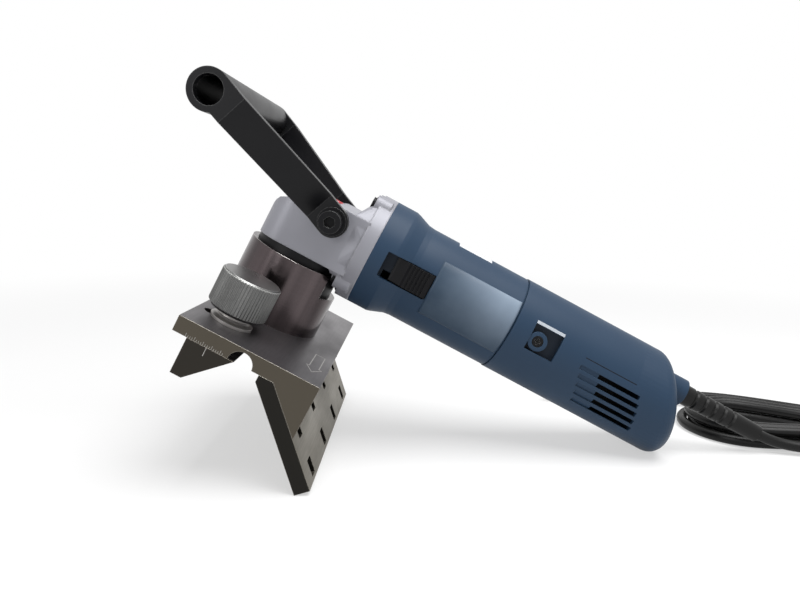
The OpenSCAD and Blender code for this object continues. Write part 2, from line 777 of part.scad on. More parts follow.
module case_screws() {
  color("dimgray") tool() translate([0, 0, axis_h]) case_screw_spots() rotate([0, 90, 0]) difference() {
    union() {
      translate([0, 0, flange_x - 2]) cylinder(d = case_screw_d, h = 22);
      translate([0, 0, flange_x - 5]) cylinder(d = case_screw_head_d, h = 3);
    }
    for (a = [0, 90]) rotate([0, 0, a]) translate([-0.6, -2.2, flange_x - 6]) cube([1.2, 4.4, 2.6]);
  }
}
module lock_button() {
  color("firebrick") tool() translate([button_x, button_y, 0]) {
    translate([0, 0, button_top - button_head_h]) rotate_extrude() polygon([
      [0, 0], [button_d / 2, 0], [button_d / 2, button_head_h - 0.8],
      [button_d / 2 - 0.8, button_head_h], [0, button_head_h]]);
    translate([0, 0, button_tip])
      cylinder(d = button_stem_d, h = button_top - button_head_h - button_tip + eps);
  }
}

// Motor housing: a barrel that flares to the flange, with a frame inside the rear cover
module motor_housing() {
  stator_room_r = stator_d / 2 + seat_gap;
  step_x = case_end + 28;
  shelf_x = rear_wall_x + rear_wall_w - 2;
  color("#2f4a63") tool() difference() {
    union() {
      motor_axis(0) rotate_extrude() polygon([
        [fan_room_r, case_end], [flange_r, case_end], [flange_r, case_end + 13.5],
        [flange_r - 0.7, case_end + 16], [housing_r + 1.8, case_end + 20.5],
        [housing_r + 0.5, case_end + 24], [housing_r, step_x],
        [housing_r, seam_x - 0.8], [housing_r - 0.7, seam_x - 0.8], [housing_r - 0.7, seam_x],
        [cover_bore_r - seat_gap, seam_x], [cover_bore_r - seat_gap, seam_x + spigot_l],
        [frame_r, seam_x + spigot_l], [frame_r, frame_end], [brush_room_r, frame_end],
        [brush_room_r, rear_wall_x + rear_wall_w], [rear_pin_d / 2 + 1.5, rear_wall_x + rear_wall_w],
        [rear_pin_d / 2 + 1.5, rear_bearing_x + rear_bearing_w],
        [rear_bearing_r + seat_gap, rear_bearing_x + rear_bearing_w],
        [rear_bearing_r + seat_gap, rear_wall_x], [brush_room_r, rear_wall_x],
        [brush_room_r, brush_room_x], [stator_room_r, brush_room_x],
        [stator_room_r, fan_room_end], [fan_room_r, fan_room_end]]);
      translate([shelf_x, -block_y[0], axis_h + block_z[0]])
        cube([block_x + block_l - shelf_x, shelf_t, block_z[1] - block_z[0]]);
    }
    translate([recess_x, -flange_r - 1, axis_h - recess_h / 2])
      cube([recess_l, flange_r + 1 - recess_floor, recess_h]);
    translate([recess_x + 2, -flange_r, axis_h + rod_z[0] - 0.5])
      cube([recess_l - 3, flange_r - rod_y[0], rod_z[1] - rod_z[0] + 1]);
    translate([brush_room_x - 1, -rod_y[1] - 0.5, axis_h + rod_z[0] - 0.5])
      cube([frame_end - brush_room_x + 2, 6, rod_z[1] - rod_z[0] + 1]);
    translate([0, 0, axis_h]) case_screw_spots() rotate([0, 90, 0])
      translate([0, 0, case_end - 1]) cylinder(d = case_screw_d + 2 * seat_gap, h = 14);
    both_sides() translate([screw_boss_x, 0, axis_h + screw_boss_z])
      pin_y(cover_screw_d / 2 + seat_gap, brush_room_r - 3, housing_r);
  }
}

// Rear cover: a smooth sleeve with a slanted, rounded tail, vents and screw pockets
module tail_ring() {
  translate([tail_mid_x, 0, axis_h]) rotate([0, 90 - tail_lean, 0])
    rotate_extrude($fn = 2 * round_fn) translate([tail_ring_r, 0]) circle(r = tail_round, $fn = round_fn);
}
module pocket() {
  translate([pocket_x, -cover_r - 2, axis_h + pocket_z0])
    cube([pocket_l, cover_r + 2 - pocket_y, pocket_h]);
}
module vents() {
  for (i = [0:vent_count - 1]) {
    z = axis_h + vent_top - i * vent_pitch;
    depth = cover_r + 4;
    x = vent_x + i * vent_shift;
    translate([x, -depth, z - vent_h / 2]) cube([vent_l, depth - 8, vent_h]);
    translate([x - flute_l, 0, z]) intersection() {
      translate([0, -depth, -vent_h / 2]) cube([flute_l + 1, depth, vent_h]);
      translate([0, 0, axis_h - z]) rotate([0, 90, 0])
        ring(cover_r + 4, cover_r - flute_cut, flute_l + 1);
    }
  }
}
module rear_cover() {
  cavity_end = tail_mid_x - tail_dx - cover_wall;
  color("#2f4a63") tool() difference() {
    union() {
      difference() {
        union() {
          hull() {
            motor_axis(tail_mid_x - 24) cylinder(r = cover_r, h = 1, $fn = 2 * round_fn);
            tail_ring();
          }
          motor_axis(seam_x) cylinder(r = cover_r, h = tail_mid_x - 23.5 - seam_x);
          motor_axis(tail_mid_x - 14) translate([-outlet_z, 0, 0])
            cylinder(r = outlet_r, h = outlet_x - tail_mid_x + 14);
        }
        motor_axis(seam_x - 1) cylinder(r = cover_bore_r, h = cavity_end - seam_x + 1);
        both_sides() {
          pocket();
          vents();
        }
      }
      both_sides() intersection() {
        motor_axis(seam_x) ring(cover_r - 1, frame_r + move_gap, pocket_l + pocket_x - seam_x + 4);
        translate([pocket_x - 2, -cover_r, axis_h + pocket_z0 - 2])
          cube([pocket_l + 4, cover_r - pocket_y + 1.2, pocket_h + 4]);
        difference() {
          translate([pocket_x - 2, -cover_r, axis_h + pocket_z0 - 2])
            cube([pocket_l + 4, cover_r, pocket_h + 4]);
          difference() {
            translate([pocket_x, -cover_r - 1, axis_h + pocket_z0])
              cube([pocket_l, cover_r - pocket_y, pocket_h]);
            translate([screw_boss_x, 0, axis_h + screw_boss_z]) bar_y(screw_boss_d / 2, 3 * cover_r);
          }
        }
      }
    }
    both_sides() translate([screw_boss_x, 0, axis_h + screw_boss_z])
      pin_y(cover_screw_d / 2 + run_gap, frame_r - 2, cover_r + 1);
    both_sides() translate([screw_boss_x, 0, axis_h + screw_boss_z])
      pin_y(cover_screw_d + run_gap, frame_r + 2.4, cover_r + 1);
    motor_axis(cavity_end - 2) translate([-outlet_z, 0, 0])
      cylinder(r = gland_r + seat_gap, h = outlet_x - cavity_end + 4);
  }
}
module cover_screws() {
  color("dimgray") tool() both_sides() translate([screw_boss_x, 0, axis_h + screw_boss_z]) difference() {
    union() {
      pin_y(cover_screw_d / 2, brush_room_r - 2, frame_r + 2.6);
      pin_y(cover_screw_d - run_gap, frame_r + 2.4, frame_r + 4.4);
    }
    for (a = [0, 90]) translate([0, frame_r + 3.4, 0]) rotate([0, a, 0])
      translate([-2, 0, -0.5]) cube([4, 2, 1]);
  }
}

// Slide switch with its rod and the switch block behind the motor
module switch_slider() {
  slider_l = recess_l - switch_travel - 1.5;
  slider_h = recess_h - 0.8;
  x0 = recess_x + recess_l - 0.5 - slider_l;
  base = recess_floor + move_gap;
  crown = housing_r + 2;
  rib_pitch = 2.4;
  color("#1c1c1c") tool() {
    translate([x0, 0, axis_h - slider_h / 2]) linear_extrude(height = slider_h) polygon(concat(
      [[0, -base], [slider_l, -base], [slider_l, -housing_r]],
      [for (i = [0:5], s = [0.9, 0.1])
        [slider_l - 1 - (i + 1 - s) * rib_pitch, -crown + (s > 0.5 ? 0.9 : 0)]],
      [[slider_l - 17, -housing_r - 0.4], [1.5, -housing_r + 0.6], [0, -base - 1.6]]));
    translate([x0 + 4, -base - eps, axis_h + rod_z[0] + 1.6])
      cube([12, base - rod_y[1] + eps, rod_z[1] - rod_z[0] - 1.6]);
  }
}
module switch_rod() {
  x0 = recess_x + 9;
  color("dimgray") tool() translate([x0, -rod_y[1], axis_h + rod_z[0]])
    cube([rod_end - x0, rod_y[1] - rod_y[0], rod_z[1] - rod_z[0]]);
}
module switch_block() {
  color("#333333") tool() {
    translate([block_x, -block_y[1], axis_h + block_z[0]])
      cube([block_l, block_y[1] - block_y[0], block_z[1] - block_z[0]]);
    for (z = [block_z[0] + 4, block_z[1] - 4])
      translate([block_x + block_l - eps, -block_y[1] + 6, axis_h + z - 1]) cube([7, 4, 0.8]);
  }
}

// Motor: stator, armature, commutator, fan, bearings and brushes
module stator() {
  tooth_r = core_d / 2 + 0.6;
  coil_l = 8;
  coil_r = stator_d / 2 - 4;
  color("peru") tool() difference() {
    motor_axis(core_x - coil_l) union() {
      translate([0, 0, coil_l]) cylinder(d = stator_d, h = core_l);
      rotate_extrude() polygon([
        [tooth_r + 1.5, 3], [tooth_r + 4, 0], [coil_r - 2, 0], [coil_r, 2],
        [coil_r, core_l + 2 * coil_l - 2], [coil_r - 2, core_l + 2 * coil_l],
        [tooth_r + 4, core_l + 2 * coil_l], [tooth_r + 1.5, core_l + 2 * coil_l - 3]]);
    }
    motor_axis(core_x - coil_l - 1) cylinder(r = tooth_r, h = core_l + 2 * coil_l + 2);
    both_sides() translate([core_x - coil_l - 1, -stator_d, 0])
      cube([core_l + 2 * coil_l + 2, stator_d - stator_flat, 2 * axis_h]);
  }
}
module armature_shaft() {
  shaft_r = shaft_d / 2;
  x0 = cone_in * cos(pinion_cone) + 0.6;
  step_x = rear_bearing_x - 1;
  color("silver") tool() motor_axis(0) rotate_extrude() polygon([
    [0, x0], [nose_pin_d / 2, x0], [nose_pin_d / 2, front_bearing_x - 1.4], [shaft_r, front_bearing_x - 1.4],
    [shaft_r, step_x], [rear_pin_d / 2, step_x], [rear_pin_d / 2, rear_bearing_x + rear_bearing_w + 1.5],
    [0, rear_bearing_x + rear_bearing_w + 1.5]]);
}
module armature_core() {
  slots = 12;
  coil_r = core_d / 2 - 3;
  color("sienna") tool() motor_axis(core_x) difference() {
    union() {
      difference() {
        cylinder(d = core_d, h = core_l);
        for (i = [0:slots - 1]) rotate([0, 0, i * 360 / slots])
          translate([core_d / 2 - 2, -0.9, -1]) cube([3, 1.8, core_l + 2]);
      }
      translate([0, 0, -7]) rotate_extrude() polygon([
        [shaft_d / 2, 2], [coil_r - 3, 0], [coil_r, 3], [coil_r, core_l + 11],
        [coil_r - 3, core_l + 14], [shaft_d / 2, core_l + 12]]);
    }
    translate([0, 0, -10]) cylinder(d = shaft_d + 2 * seat_gap, h = core_l + 20);
  }
}
module commutator() {
  color("darkorange") tool() motor_axis(commutator_x)
    ring(commutator_d / 2, shaft_d / 2 + seat_gap, commutator_l);
}
module cooling_fan() {
  blades = 14;
  color("#3a3a3a") tool() motor_axis(fan_x) difference() {
    union() {
      cylinder(d = fan_d, h = 2);
      cylinder(r = shaft_d / 2 + 4, h = 11);
      for (i = [0:blades - 1]) rotate([0, 0, i * 360 / blades]) translate([shaft_d / 2 + 7, -0.8, 1])
        cube([fan_d / 2 - shaft_d / 2 - 7.5, 1.6, 8]);
    }
    translate([0, 0, -1]) cylinder(d = shaft_d + 2 * seat_gap, h = 14);
  }
}
module front_bearing() {
  color("gainsboro") tool() motor_axis(front_bearing_x)
    ring(front_bearing_r, shaft_d / 2 + run_gap, front_bearing_w);
}
module rear_bearing() {
  color("gainsboro") tool() motor_axis(rear_bearing_x)
    ring(rear_bearing_r, rear_pin_d / 2 + run_gap, rear_bearing_w);
}
brush_w = 8;
brush_t = 6;
brush_wall = 1.5;
module brush_spots() {
  for (a = [0, 180]) translate([commutator_x + commutator_l / 2, 0, axis_h]) rotate([a, 0, 0]) children();
}
module brush_holders() {
  r0 = commutator_d / 2 + 1;
  corner = brush_w / 2 + brush_wall;
  r1 = sqrt(brush_room_r * brush_room_r - corner * corner) - 0.2;
  color("goldenrod") tool() brush_spots() translate([0, 0, r0]) difference() {
    translate([-brush_t / 2 - brush_wall, -corner, 0]) cube([brush_t + 2 * brush_wall, 2 * corner, r1 - r0]);
    translate([-brush_t / 2 - 0.1, -brush_w / 2 - 0.1, -1]) cube([brush_t + 0.2, brush_w + 0.2, r1 - r0 + 2]);
  }
}
module carbon_brushes() {
  r0 = commutator_d / 2 + 0.1;
  color("#2b2b2b") tool() brush_spots() difference() {
    translate([-brush_t / 2, -brush_w / 2, r0 - 1]) cube([brush_t, brush_w, 10]);
    translate([-brush_t, 0, 0]) rotate([0, 90, 0]) cylinder(r = r0, h = 2 * brush_t);
  }
}

// Bow handle: two bent arms, a hollow grip tube and the pivot bolts
module arm_side() {
  rise = grip_d / 2;
  circle(d = arm_w);
  translate([handle_l, 0]) circle(d = grip_d);
  polygon([[0, -arm_w / 2], [handle_l, -rise], [handle_l, arm_w - rise],
           [handle_l - grip_d * 0.7, arm_w - rise], [0, arm_w / 2]]);
}
module handle_arm() {
  far = handle_l + grip_d;
  bend_in = arm_w / 2 + 4;
  bend_out = handle_l - grip_d / 2 - 2;
  end_y = handle_w / 2;
  difference() {
    intersection() {
      linear_extrude(height = 4 * grip_d, center = true) polygon([
        [-arm_w, arm_in], [bend_in, arm_in], [bend_out, end_y - arm_t], [far, end_y - arm_t],
        [far, end_y], [bend_out - 2, end_y], [bend_in - 2, arm_out], [-arm_w, arm_out]]);
      rotate([90, 0, 0]) linear_extrude(height = 2 * handle_w, center = true) arm_side();
    }
    pin_y(bolt_d / 2 + run_gap, 0, handle_w);
    translate([handle_l, 0, 0]) pin_y(grip_bore / 2, 0, handle_w);
  }
}
module handle_arm_front() {
  color("#202020") tool() handle_frame() mirror([0, 1, 0]) handle_arm();
}
module handle_arm_back() {
  color("#202020") tool() handle_frame() handle_arm();
}
module grip_tube() {
  color("#202020") tool() handle_frame() translate([handle_l, 0, 0]) difference() {
    bar_y(grip_d / 2, 2 * grip_half);
    bar_y(grip_bore / 2, 2 * grip_half + 2);
  }
}
module handle_bolts() {
  head_y = arm_out + move_gap + bolt_washer_t;
  color("#181818") tool() translate([pivot_x, 0, pivot_z]) both_sides() difference() {
    union() {
      pin_y(bolt_d / 2, boss_half_w - bolt_grip + 1, head_y + eps);
      pin_y(bolt_head_d / 2, head_y, head_y + bolt_head_h);
    }
    translate([0, head_y + bolt_head_h - 4, 0]) rotate([-90, 0, 0])
      cylinder(r = socket_af / sqrt(3), h = 5, $fn = 6);
  }
}
module handle_washers() {
  y0 = arm_out + move_gap;
  color("#282828") tool() translate([pivot_x, 0, pivot_z]) both_sides() difference() {
    pin_y(bolt_washer_d / 2, y0, y0 + bolt_washer_t);
    pin_y(bolt_d / 2 + seat_gap, 0, handle_w);
  }
}

// Strain relief: a ribbed sleeve that leaves the outlet along the body
module strain_relief() {
  inner_l = 20;
  ribs = 5;
  rib_pitch = 7;
  taper = (sleeve_start_r - sleeve_end_r) / relief_l;
  color("#1a1a1a") tool() motor_axis(outlet_x) translate([-outlet_z, 0, 0]) rotate_extrude() polygon(concat(
    [[0, -inner_l], [gland_r, -inner_l], [gland_r, 0], [sleeve_start_r, 0]],
    [for (i = [1:ribs], s = [0, 1, 1.8, 2.8])
      let (x = i * rib_pitch + s) [sleeve_start_r - taper * x - (s > 0.5 && s < 2 ? 0.8 : 0), x]],
    [[sleeve_end_r, relief_l], [0, relief_l]]));
}

// Cord: a tube swept along its points, with rings square to the path
up = [0, 0, 1];
function unit(v) = v / norm(v);
function heading(p, i) = unit(p[min(i + 1, len(p) - 1)] - p[max(i - 1, 0)]);
function tube_ring(c, t, r, n) = let (side = unit(cross(up, t)), top = cross(t, side))
  [for (j = [0:n - 1]) c + r * (cos(j * 360 / n) * side + sin(j * 360 / n) * top)];
module tube(p, r, n, first, last) {
  count = len(p);
  rings = [for (i = [0:count - 1])
    tube_ring(p[i], i == 0 ? first : i == count - 1 ? last : heading(p, i), r, n)];
  points = concat([for (q = rings) each q], [p[0], p[count - 1]]);
  skin = [for (i = [0:count - 2], j = [0:n - 1], h = [0, 1])
    let (a = i * n + j, b = i * n + (j + 1) % n) h == 0 ? [a, b, b + n] : [a, b + n, a + n]];
  caps = [for (j = [0:n - 1], e = [0, 1])
    let (k = (j + 1) % n, m = (count - 1) * n) e == 0 ? [k, j, count * n] : [m + j, m + k, count * n + 1]];
  polyhedron(points = points, faces = [for (f = concat(skin, caps)) [f[0], f[2], f[1]]]);
}

// Hank: loops spiral in on the table, climb along a run, and spiral out on top
hank_x = 237;
hank_y = 25;
hank_turn = -22;
loop_steps = 24;
hank_loops = 3;
layer_step = cord_d + 0.5;
waist_lift = 1.6;
climb_from = (hank_loops - 1) * loop_steps + 21;
climb_to = climb_from + 6;
hank_steps = climb_to + 60;
half_run = run_l / 2;
outer_r = fold_r + hank_loops * loop_pitch;
function loop_r(k) = k < climb_from + 3 ? max(fold_r, outer_r - loop_pitch * k / loop_steps)
  : fold_r + loop_pitch * max(0, k - climb_to) / loop_steps;
function loop_z(k) = cord_d / 2 + layer_step * (k < climb_from ? 0 : k > climb_to ? 1
  : (1 - cos(180 * (k - climb_from) / (climb_to - climb_from))) / 2);
function waist(x) = (1 + cos(180 * x / half_run)) / 2;
function on_table(x, y, z) = [hank_x + x * cos(hank_turn) - y * sin(hank_turn),
  hank_y + x * sin(hank_turn) + y * cos(hank_turn), z];
function on_run(x, side, r, z) =
  on_table(x, side * (r - waist_draw * waist(x)), z + waist_lift * waist(x));
function on_fold(end, a, r, z) = on_table(end * half_run + r * cos(a), r * sin(a), z);
function hank_point(k) = let (s = k % loop_steps, r = loop_r(k), z = loop_z(k))
  s <= 3 ? on_run(half_run * s / 3, -1, r, z)
  : s <= 9 ? on_fold(1, -90 + 30 * (s - 3), r, z)
  : s <= 15 ? on_run(half_run * (1 - (s - 9) / 3), 1, r, z)
  : s <= 21 ? on_fold(-1, 90 + 30 * (s - 15), r, z)
  : on_run(half_run * ((s - 21) / 3 - 1), -1, r, z);
hank_path = [for (k = [0:hank_steps]) hank_point(k)];
fine = 4;
fine_path = [for (k = [0:hank_steps * fine]) hank_point(k / fine)];
function least_gap(p, skip) = min([for (i = [0:len(p) - 1 - skip])
  min([for (j = [i + skip:len(p) - 1]) norm(p[i] - p[j])])]) - cord_d;
function path_length(p) = len(p) < 2 ? 0 : [for (i = [1:len(p) - 1]) norm(p[i] - p[i - 1])] *
  [for (i = [1:len(p) - 1]) 1];

// Free stretches of the cord, from the strain relief to the hank and on to the plug
run_dir = [cos(hank_turn), sin(hank_turn), 0];
lead_path = concat([[cord_start[0], 0, cord_start[1]]],
  [[181.5, -0.2, 9.6], [188.7, -0.8, 7.4], [197, -2, 6], [206, -3.4, 5.3], [215.2, -5, 5.1]],
  [hank_path[0]]);
plug_at = [112, 110, 10];
end_path = concat([hank_path[hank_steps]],
  [[190, 88.2, 10.9], [178, 93.4, 10.2], [164, 99.2, 8.8], [150, 104, 7.6],
   [137, 107.6, 7.8], [124, 109.6, 9.2]],
  [plug_at]);
module cord_lead() {
  color("#1a1a1a") tube(lead_path, cord_d / 2, 10, [cos(tilt), 0, -sin(tilt)], run_dir);
}
module cord_hank() {
  color("#1a1a1a") tube(hank_path, cord_d / 2, 6, run_dir, -run_dir);
}
module cord_end() {
  color("#1a1a1a") tube(end_path, cord_d / 2, 10, -run_dir, [-1, 0, 0]);
}
tie_slack = 0.85;
module tie_outline(grow) {
  front = waist_draw - outer_r - cord_d / 2 - tie_slack - grow;
  back = outer_r - loop_pitch / 2 - waist_draw + cord_d / 2 + tie_slack + grow;
  low = waist_lift - 0.17 - grow;
  high = waist_lift + layer_step + cord_d + 0.1 + grow;
  corner = cord_d / 2 + grow;
  translate([front + corner, low]) square([back - front - 2 * corner, high - low]);
  translate([front, low + corner]) square([back - front, high - low - 2 * corner]);
  for (y = [front + corner, back - corner], z = [low + corner, high - corner])
    translate([y, z]) circle(r = corner);
}
module cord_tie() {
  tie_w = 10;
  tie_t = 1.2;
  color("#303030") translate([hank_x, hank_y, 0]) rotate([0, 0, hank_turn])
    translate([-tie_w / 2, 0, 0]) rotate([90, 0, 90]) linear_extrude(height = tie_w) difference() {
      tie_outline(tie_t);
      tie_outline(0);
    }
}

// Two-pin plug lying behind the tail
plug_l = 38;
plug_w = 30;
plug_t = 20;
pin_l = 19;
pin_d = 4.8;
pin_pitch = 19;
module plug_body() {
  grip_r = 7;
  color("#1a1a1a") translate([plug_at[0], plug_at[1], plug_t / 2]) hull() {
    translate([-8, 0, 0]) rotate([0, 90, 0]) cylinder(r = grip_r, h = 8, $fn = round_fn);
    for (s = [-1, 1]) translate([-plug_l, s * (plug_w - plug_t) / 2, 0])
      rotate([0, 90, 0]) cylinder(r = plug_t / 2, h = plug_l - 18, $fn = round_fn);
  }
}
module plug_pins() {
  color("silver") for (s = [-1, 1])
    translate([plug_at[0] - plug_l - pin_l, plug_at[1] + s * pin_pitch / 2, plug_t / 2])
      rotate([0, 90, 0]) cylinder(d = pin_d, h = pin_l);
}

echo(least_gap_of_hank = least_gap(fine_path, 16), hank_length = path_length(fine_path),  // cord_hank
       lead_length = path_length(lead_path), end_length = path_length(end_path),
       tilt = tilt, rest_x = rest_x, rest_z = rest_z, cord_start = cord_start);
base_plate();
guide_plate();
guide_plate_screws();
roller_axles();
guide_rollers_1();
guide_rollers_2();
guide_rollers_3();
guide_rollers_4();
guide_block();
clamp_stud();
knob_washer();
clamp_knob();
collar();
collar_screw();
sleeve();
sleeve_screws();
spindle();
crown_gear();
spindle_bearing();
spindle_bush();
cutter_head();
cutter_inserts();
insert_screws();
cutter_bolt();
gear_case();
case_screws();
lock_button();
motor_housing();
rear_cover();
cover_screws();
switch_slider();
switch_rod();
switch_block();
stator();
armature_shaft();
armature_core();
commutator();
cooling_fan();
drive_pinion();
front_bearing();
rear_bearing();
brush_holders();
carbon_brushes();
handle_arm_front();
handle_arm_back();
grip_tube();
handle_bolts();
handle_washers();
strain_relief();
cord_lead();
cord_hank();
cord_end();
cord_tie();
plug_body();
plug_pins();
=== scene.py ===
# %% [markdown]
# # A hand-held chamfering machine, dressed for the studio
# The solids of the machine come from CAD and stay as they are. This lesson gives
# every one of them a finish, lays the mains lead, and adds the thin things that
# a solid model leaves out: bare labels, scribed marks and an arrow on the plate.
# The machine could be modelled again in Blender, but then its fits and its joints
# would no longer be those of the solids.

# %% Load the frame
import json
import math

import bmesh
import bpy
import numpy as np
from mathutils import Matrix


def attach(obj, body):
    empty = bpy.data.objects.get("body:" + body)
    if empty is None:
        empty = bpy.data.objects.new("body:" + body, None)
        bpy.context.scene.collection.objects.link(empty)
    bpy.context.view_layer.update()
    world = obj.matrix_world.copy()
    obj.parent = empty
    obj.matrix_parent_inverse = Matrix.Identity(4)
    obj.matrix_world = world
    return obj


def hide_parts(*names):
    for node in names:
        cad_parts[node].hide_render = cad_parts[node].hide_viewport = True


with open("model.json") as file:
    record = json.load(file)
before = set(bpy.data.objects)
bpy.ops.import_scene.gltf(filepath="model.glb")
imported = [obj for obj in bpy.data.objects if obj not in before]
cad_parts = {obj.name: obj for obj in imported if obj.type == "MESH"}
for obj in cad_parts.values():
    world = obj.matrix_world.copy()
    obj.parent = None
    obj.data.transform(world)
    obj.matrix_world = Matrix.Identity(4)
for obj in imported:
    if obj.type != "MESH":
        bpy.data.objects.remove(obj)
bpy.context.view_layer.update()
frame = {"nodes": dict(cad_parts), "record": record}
nodes = frame["nodes"]

# %% [markdown]
# The machine leans: it rests on the toe of its guide plate and the heel of its
# tail. Places on it could be given in the room, but they are easier to give in
# the tool's own frame, where X runs along the body to the tail and Z up the
# spindle. One function turns such a point, in millimetres, into a point of the
# room, in metres.

# %% The tool's own frame
MM = 0.001
TILT = math.radians(26.6796)
REST = np.array([-143.474, 0.0, 82.6106])
COS_T, SIN_T = math.cos(TILT), math.sin(TILT)


def turned(v):
    """Turns tool directions into the room: x' = x cos t + z sin t, z' = z cos t - x sin t."""
    v = np.asarray(v, float)
    x = v[..., 0] * COS_T + v[..., 2] * SIN_T
    z = v[..., 2] * COS_T - v[..., 0] * SIN_T
    return np.stack([x, v[..., 1], z], axis=-1)


def to_room(points):
    """Room point in metres = (turned tool point + rest offset) in millimetres / 1000."""
    return (turned(points) + REST) * MM


print("the spindle meets the plate at", to_room([0, 0, 0]).round(4))

# %% [markdown]
# The camera could be aimed by eye. Instead it was found by fitting a pinhole to
# corners of the plate, the handle, the head and the tail, which fixes the lens as
# well. Its place and its three axes are given in the tool frame.

# %% Camera
LENS_MM, SENSOR_MM = 31.5, 36.0
CLIP_START = 0.01
EYE = [49.458, -444.705, 113.159]
EYE_RIGHT = [0.88115, 0.02938, 0.47192]
EYE_UP = [-0.47066, 0.15017, 0.86944]
EYE_FORWARD = [0.04533, 0.98822, -0.14615]

camera_data = bpy.data.cameras.new("camera")
camera_data.lens = LENS_MM
camera_data.sensor_width = SENSOR_MM
camera_data.clip_start = CLIP_START
camera = bpy.data.objects.new("camera", camera_data)
bpy.context.scene.collection.objects.link(camera)
pose = np.eye(4)
pose[:3, 0] = turned(EYE_RIGHT)
pose[:3, 1] = turned(EYE_UP)
pose[:3, 2] = -turned(EYE_FORWARD)
pose[:3, 3] = to_room(EYE)
camera.matrix_world = Matrix(pose.tolist())
bpy.context.scene.camera = camera
print("camera at", pose[:3, 3].round(3))

# %% [markdown]
# ## The studio
# The background is white. Stronger lamps could burn it out, but they would bleach
# the machine too. So the world is full white only for rays that see it straight or
# in a reflection, and it is dimmer for the rays that carry light.

# %% White world
WHITE = (1.0, 1.0, 1.0, 1.0)
WORLD_LIGHT = 0.34


def link(tree, source, target):
    """Joins two sockets of a node tree."""
    tree.links.new(source, target)


def math_node(tree, operation, *values):
    """One Math node; its inputs are sockets or plain numbers."""
    node = tree.nodes.new("ShaderNodeMath")
    node.operation = operation
    for socket, value in zip(node.inputs, values):
        if isinstance(value, (int, float)):
            socket.default_value = value
        else:
            link(tree, value, socket)
    return node.outputs[0]


def seen_directly(tree):
    """1 for camera, glossy and transmission rays, 0 for the rays that carry light."""
    rays = tree.nodes.new("ShaderNodeLightPath").outputs
    mirrored = math_node(tree, "MAXIMUM", rays["Is Glossy Ray"], rays["Is Transmission Ray"])
    return math_node(tree, "MAXIMUM", rays["Is Camera Ray"], mirrored)


world = bpy.data.worlds.new("studio")
bpy.context.scene.world = world
world.use_nodes = True
tree = world.node_tree
background = tree.nodes["Background"]
background.inputs["Color"].default_value = WHITE
strength = math_node(tree, "MULTIPLY_ADD", seen_directly(tree), 1 - WORLD_LIGHT, WORLD_LIGHT)
link(tree, strength, background.inputs["Strength"])
bpy.context.scene.view_settings.view_transform = "Standard"
print("the world is seen as white and lights at", WORLD_LIGHT)

# %% [markdown]
# A pale floor carries the shadow. A floor of one tone would end in a line against
# the world, so this one turns to plain white as it leaves the machine: its paint
# fades into a white glow with the distance from the middle.

# %% Floor
FLOOR_SIZE = 12.0
FLOOR_COLOUR = (0.82, 0.82, 0.82, 1.0)
FLOOR_ROUGH = 0.8
CLEAR_FROM, CLEAR_TO = 0.25, 1.1
GLOW_NEAR = 0.52

half = FLOOR_SIZE / 2
corners = [(-half, -half, 0), (half, -half, 0), (half, half, 0), (-half, half, 0)]
floor_mesh = bpy.data.meshes.new("floor")
floor_mesh.from_pydata(corners, [], [(0, 1, 2, 3)])
floor = bpy.data.objects.new("floor", floor_mesh)
bpy.context.scene.collection.objects.link(floor)
floor_paint = bpy.data.materials.new("floor_paint")
floor_paint.use_nodes = True
tree = floor_paint.node_tree
shader = tree.nodes["Principled BSDF"]
shader.inputs["Base Color"].default_value = FLOOR_COLOUR
shader.inputs["Roughness"].default_value = FLOOR_ROUGH
place = tree.nodes.new("ShaderNodeTexCoord")
reach = tree.nodes.new("ShaderNodeVectorMath")
reach.operation = "LENGTH"
link(tree, place.outputs["Object"], reach.inputs[0])
fade = tree.nodes.new("ShaderNodeMapRange")
fade.interpolation_type = "SMOOTHSTEP"
fade.inputs["From Min"].default_value = CLEAR_FROM
fade.inputs["From Max"].default_value = CLEAR_TO
fade.inputs["To Min"].default_value = GLOW_NEAR
link(tree, reach.outputs["Value"], fade.inputs["Value"])
glow = tree.nodes.new("ShaderNodeEmission")
glow.inputs["Color"].default_value = WHITE
blend = tree.nodes.new("ShaderNodeMixShader")
share = math_node(tree, "MULTIPLY", fade.outputs["Result"], seen_directly(tree))
link(tree, share, blend.inputs[0])
link(tree, shader.outputs[0], blend.inputs[1])
link(tree, glow.outputs[0], blend.inputs[2])
link(tree, blend.outputs[0], tree.nodes["Material Output"].inputs["Surface"])
floor_mesh.materials.append(floor_paint)
print("floor:", FLOOR_SIZE, "m wide, plain white from", CLEAR_TO, "m out")

# %% [markdown]
# Two soft lamps shape the round body: a wide one overhead and a weaker one from
# the front left. Area lamps are chosen because small lamps would leave hard
# shadows and hot spots on the steel.

# %% Lamps
LAMP_ROLL = [0.0, 1.0, 0.1]


def softbox(name, place, aim, size, watts):
    """A square area lamp at a place, looking at a point of the room."""
    data = bpy.data.lights.new(name, "AREA")
    data.size = size
    data.energy = watts
    lamp = bpy.data.objects.new(name, data)
    bpy.context.scene.collection.objects.link(lamp)
    back = np.subtract(place, aim)
    back = back / np.linalg.norm(back)
    side = np.cross(LAMP_ROLL, back)
    side = side / np.linalg.norm(side)
    turn = np.eye(4)
    turn[:3] = np.column_stack([side, np.cross(back, side), back, place])
    lamp.matrix_world = Matrix(turn.tolist())
    print("lamp:", name, watts, "W")


softbox("overhead", place=(0.25, -0.2, 1.1), aim=(0.0, 0.0, 0.12), size=0.9, watts=18.0)
softbox("front_left", place=(-0.75, -0.9, 0.55), aim=(-0.05, 0.0, 0.13), size=0.6, watts=3.5)

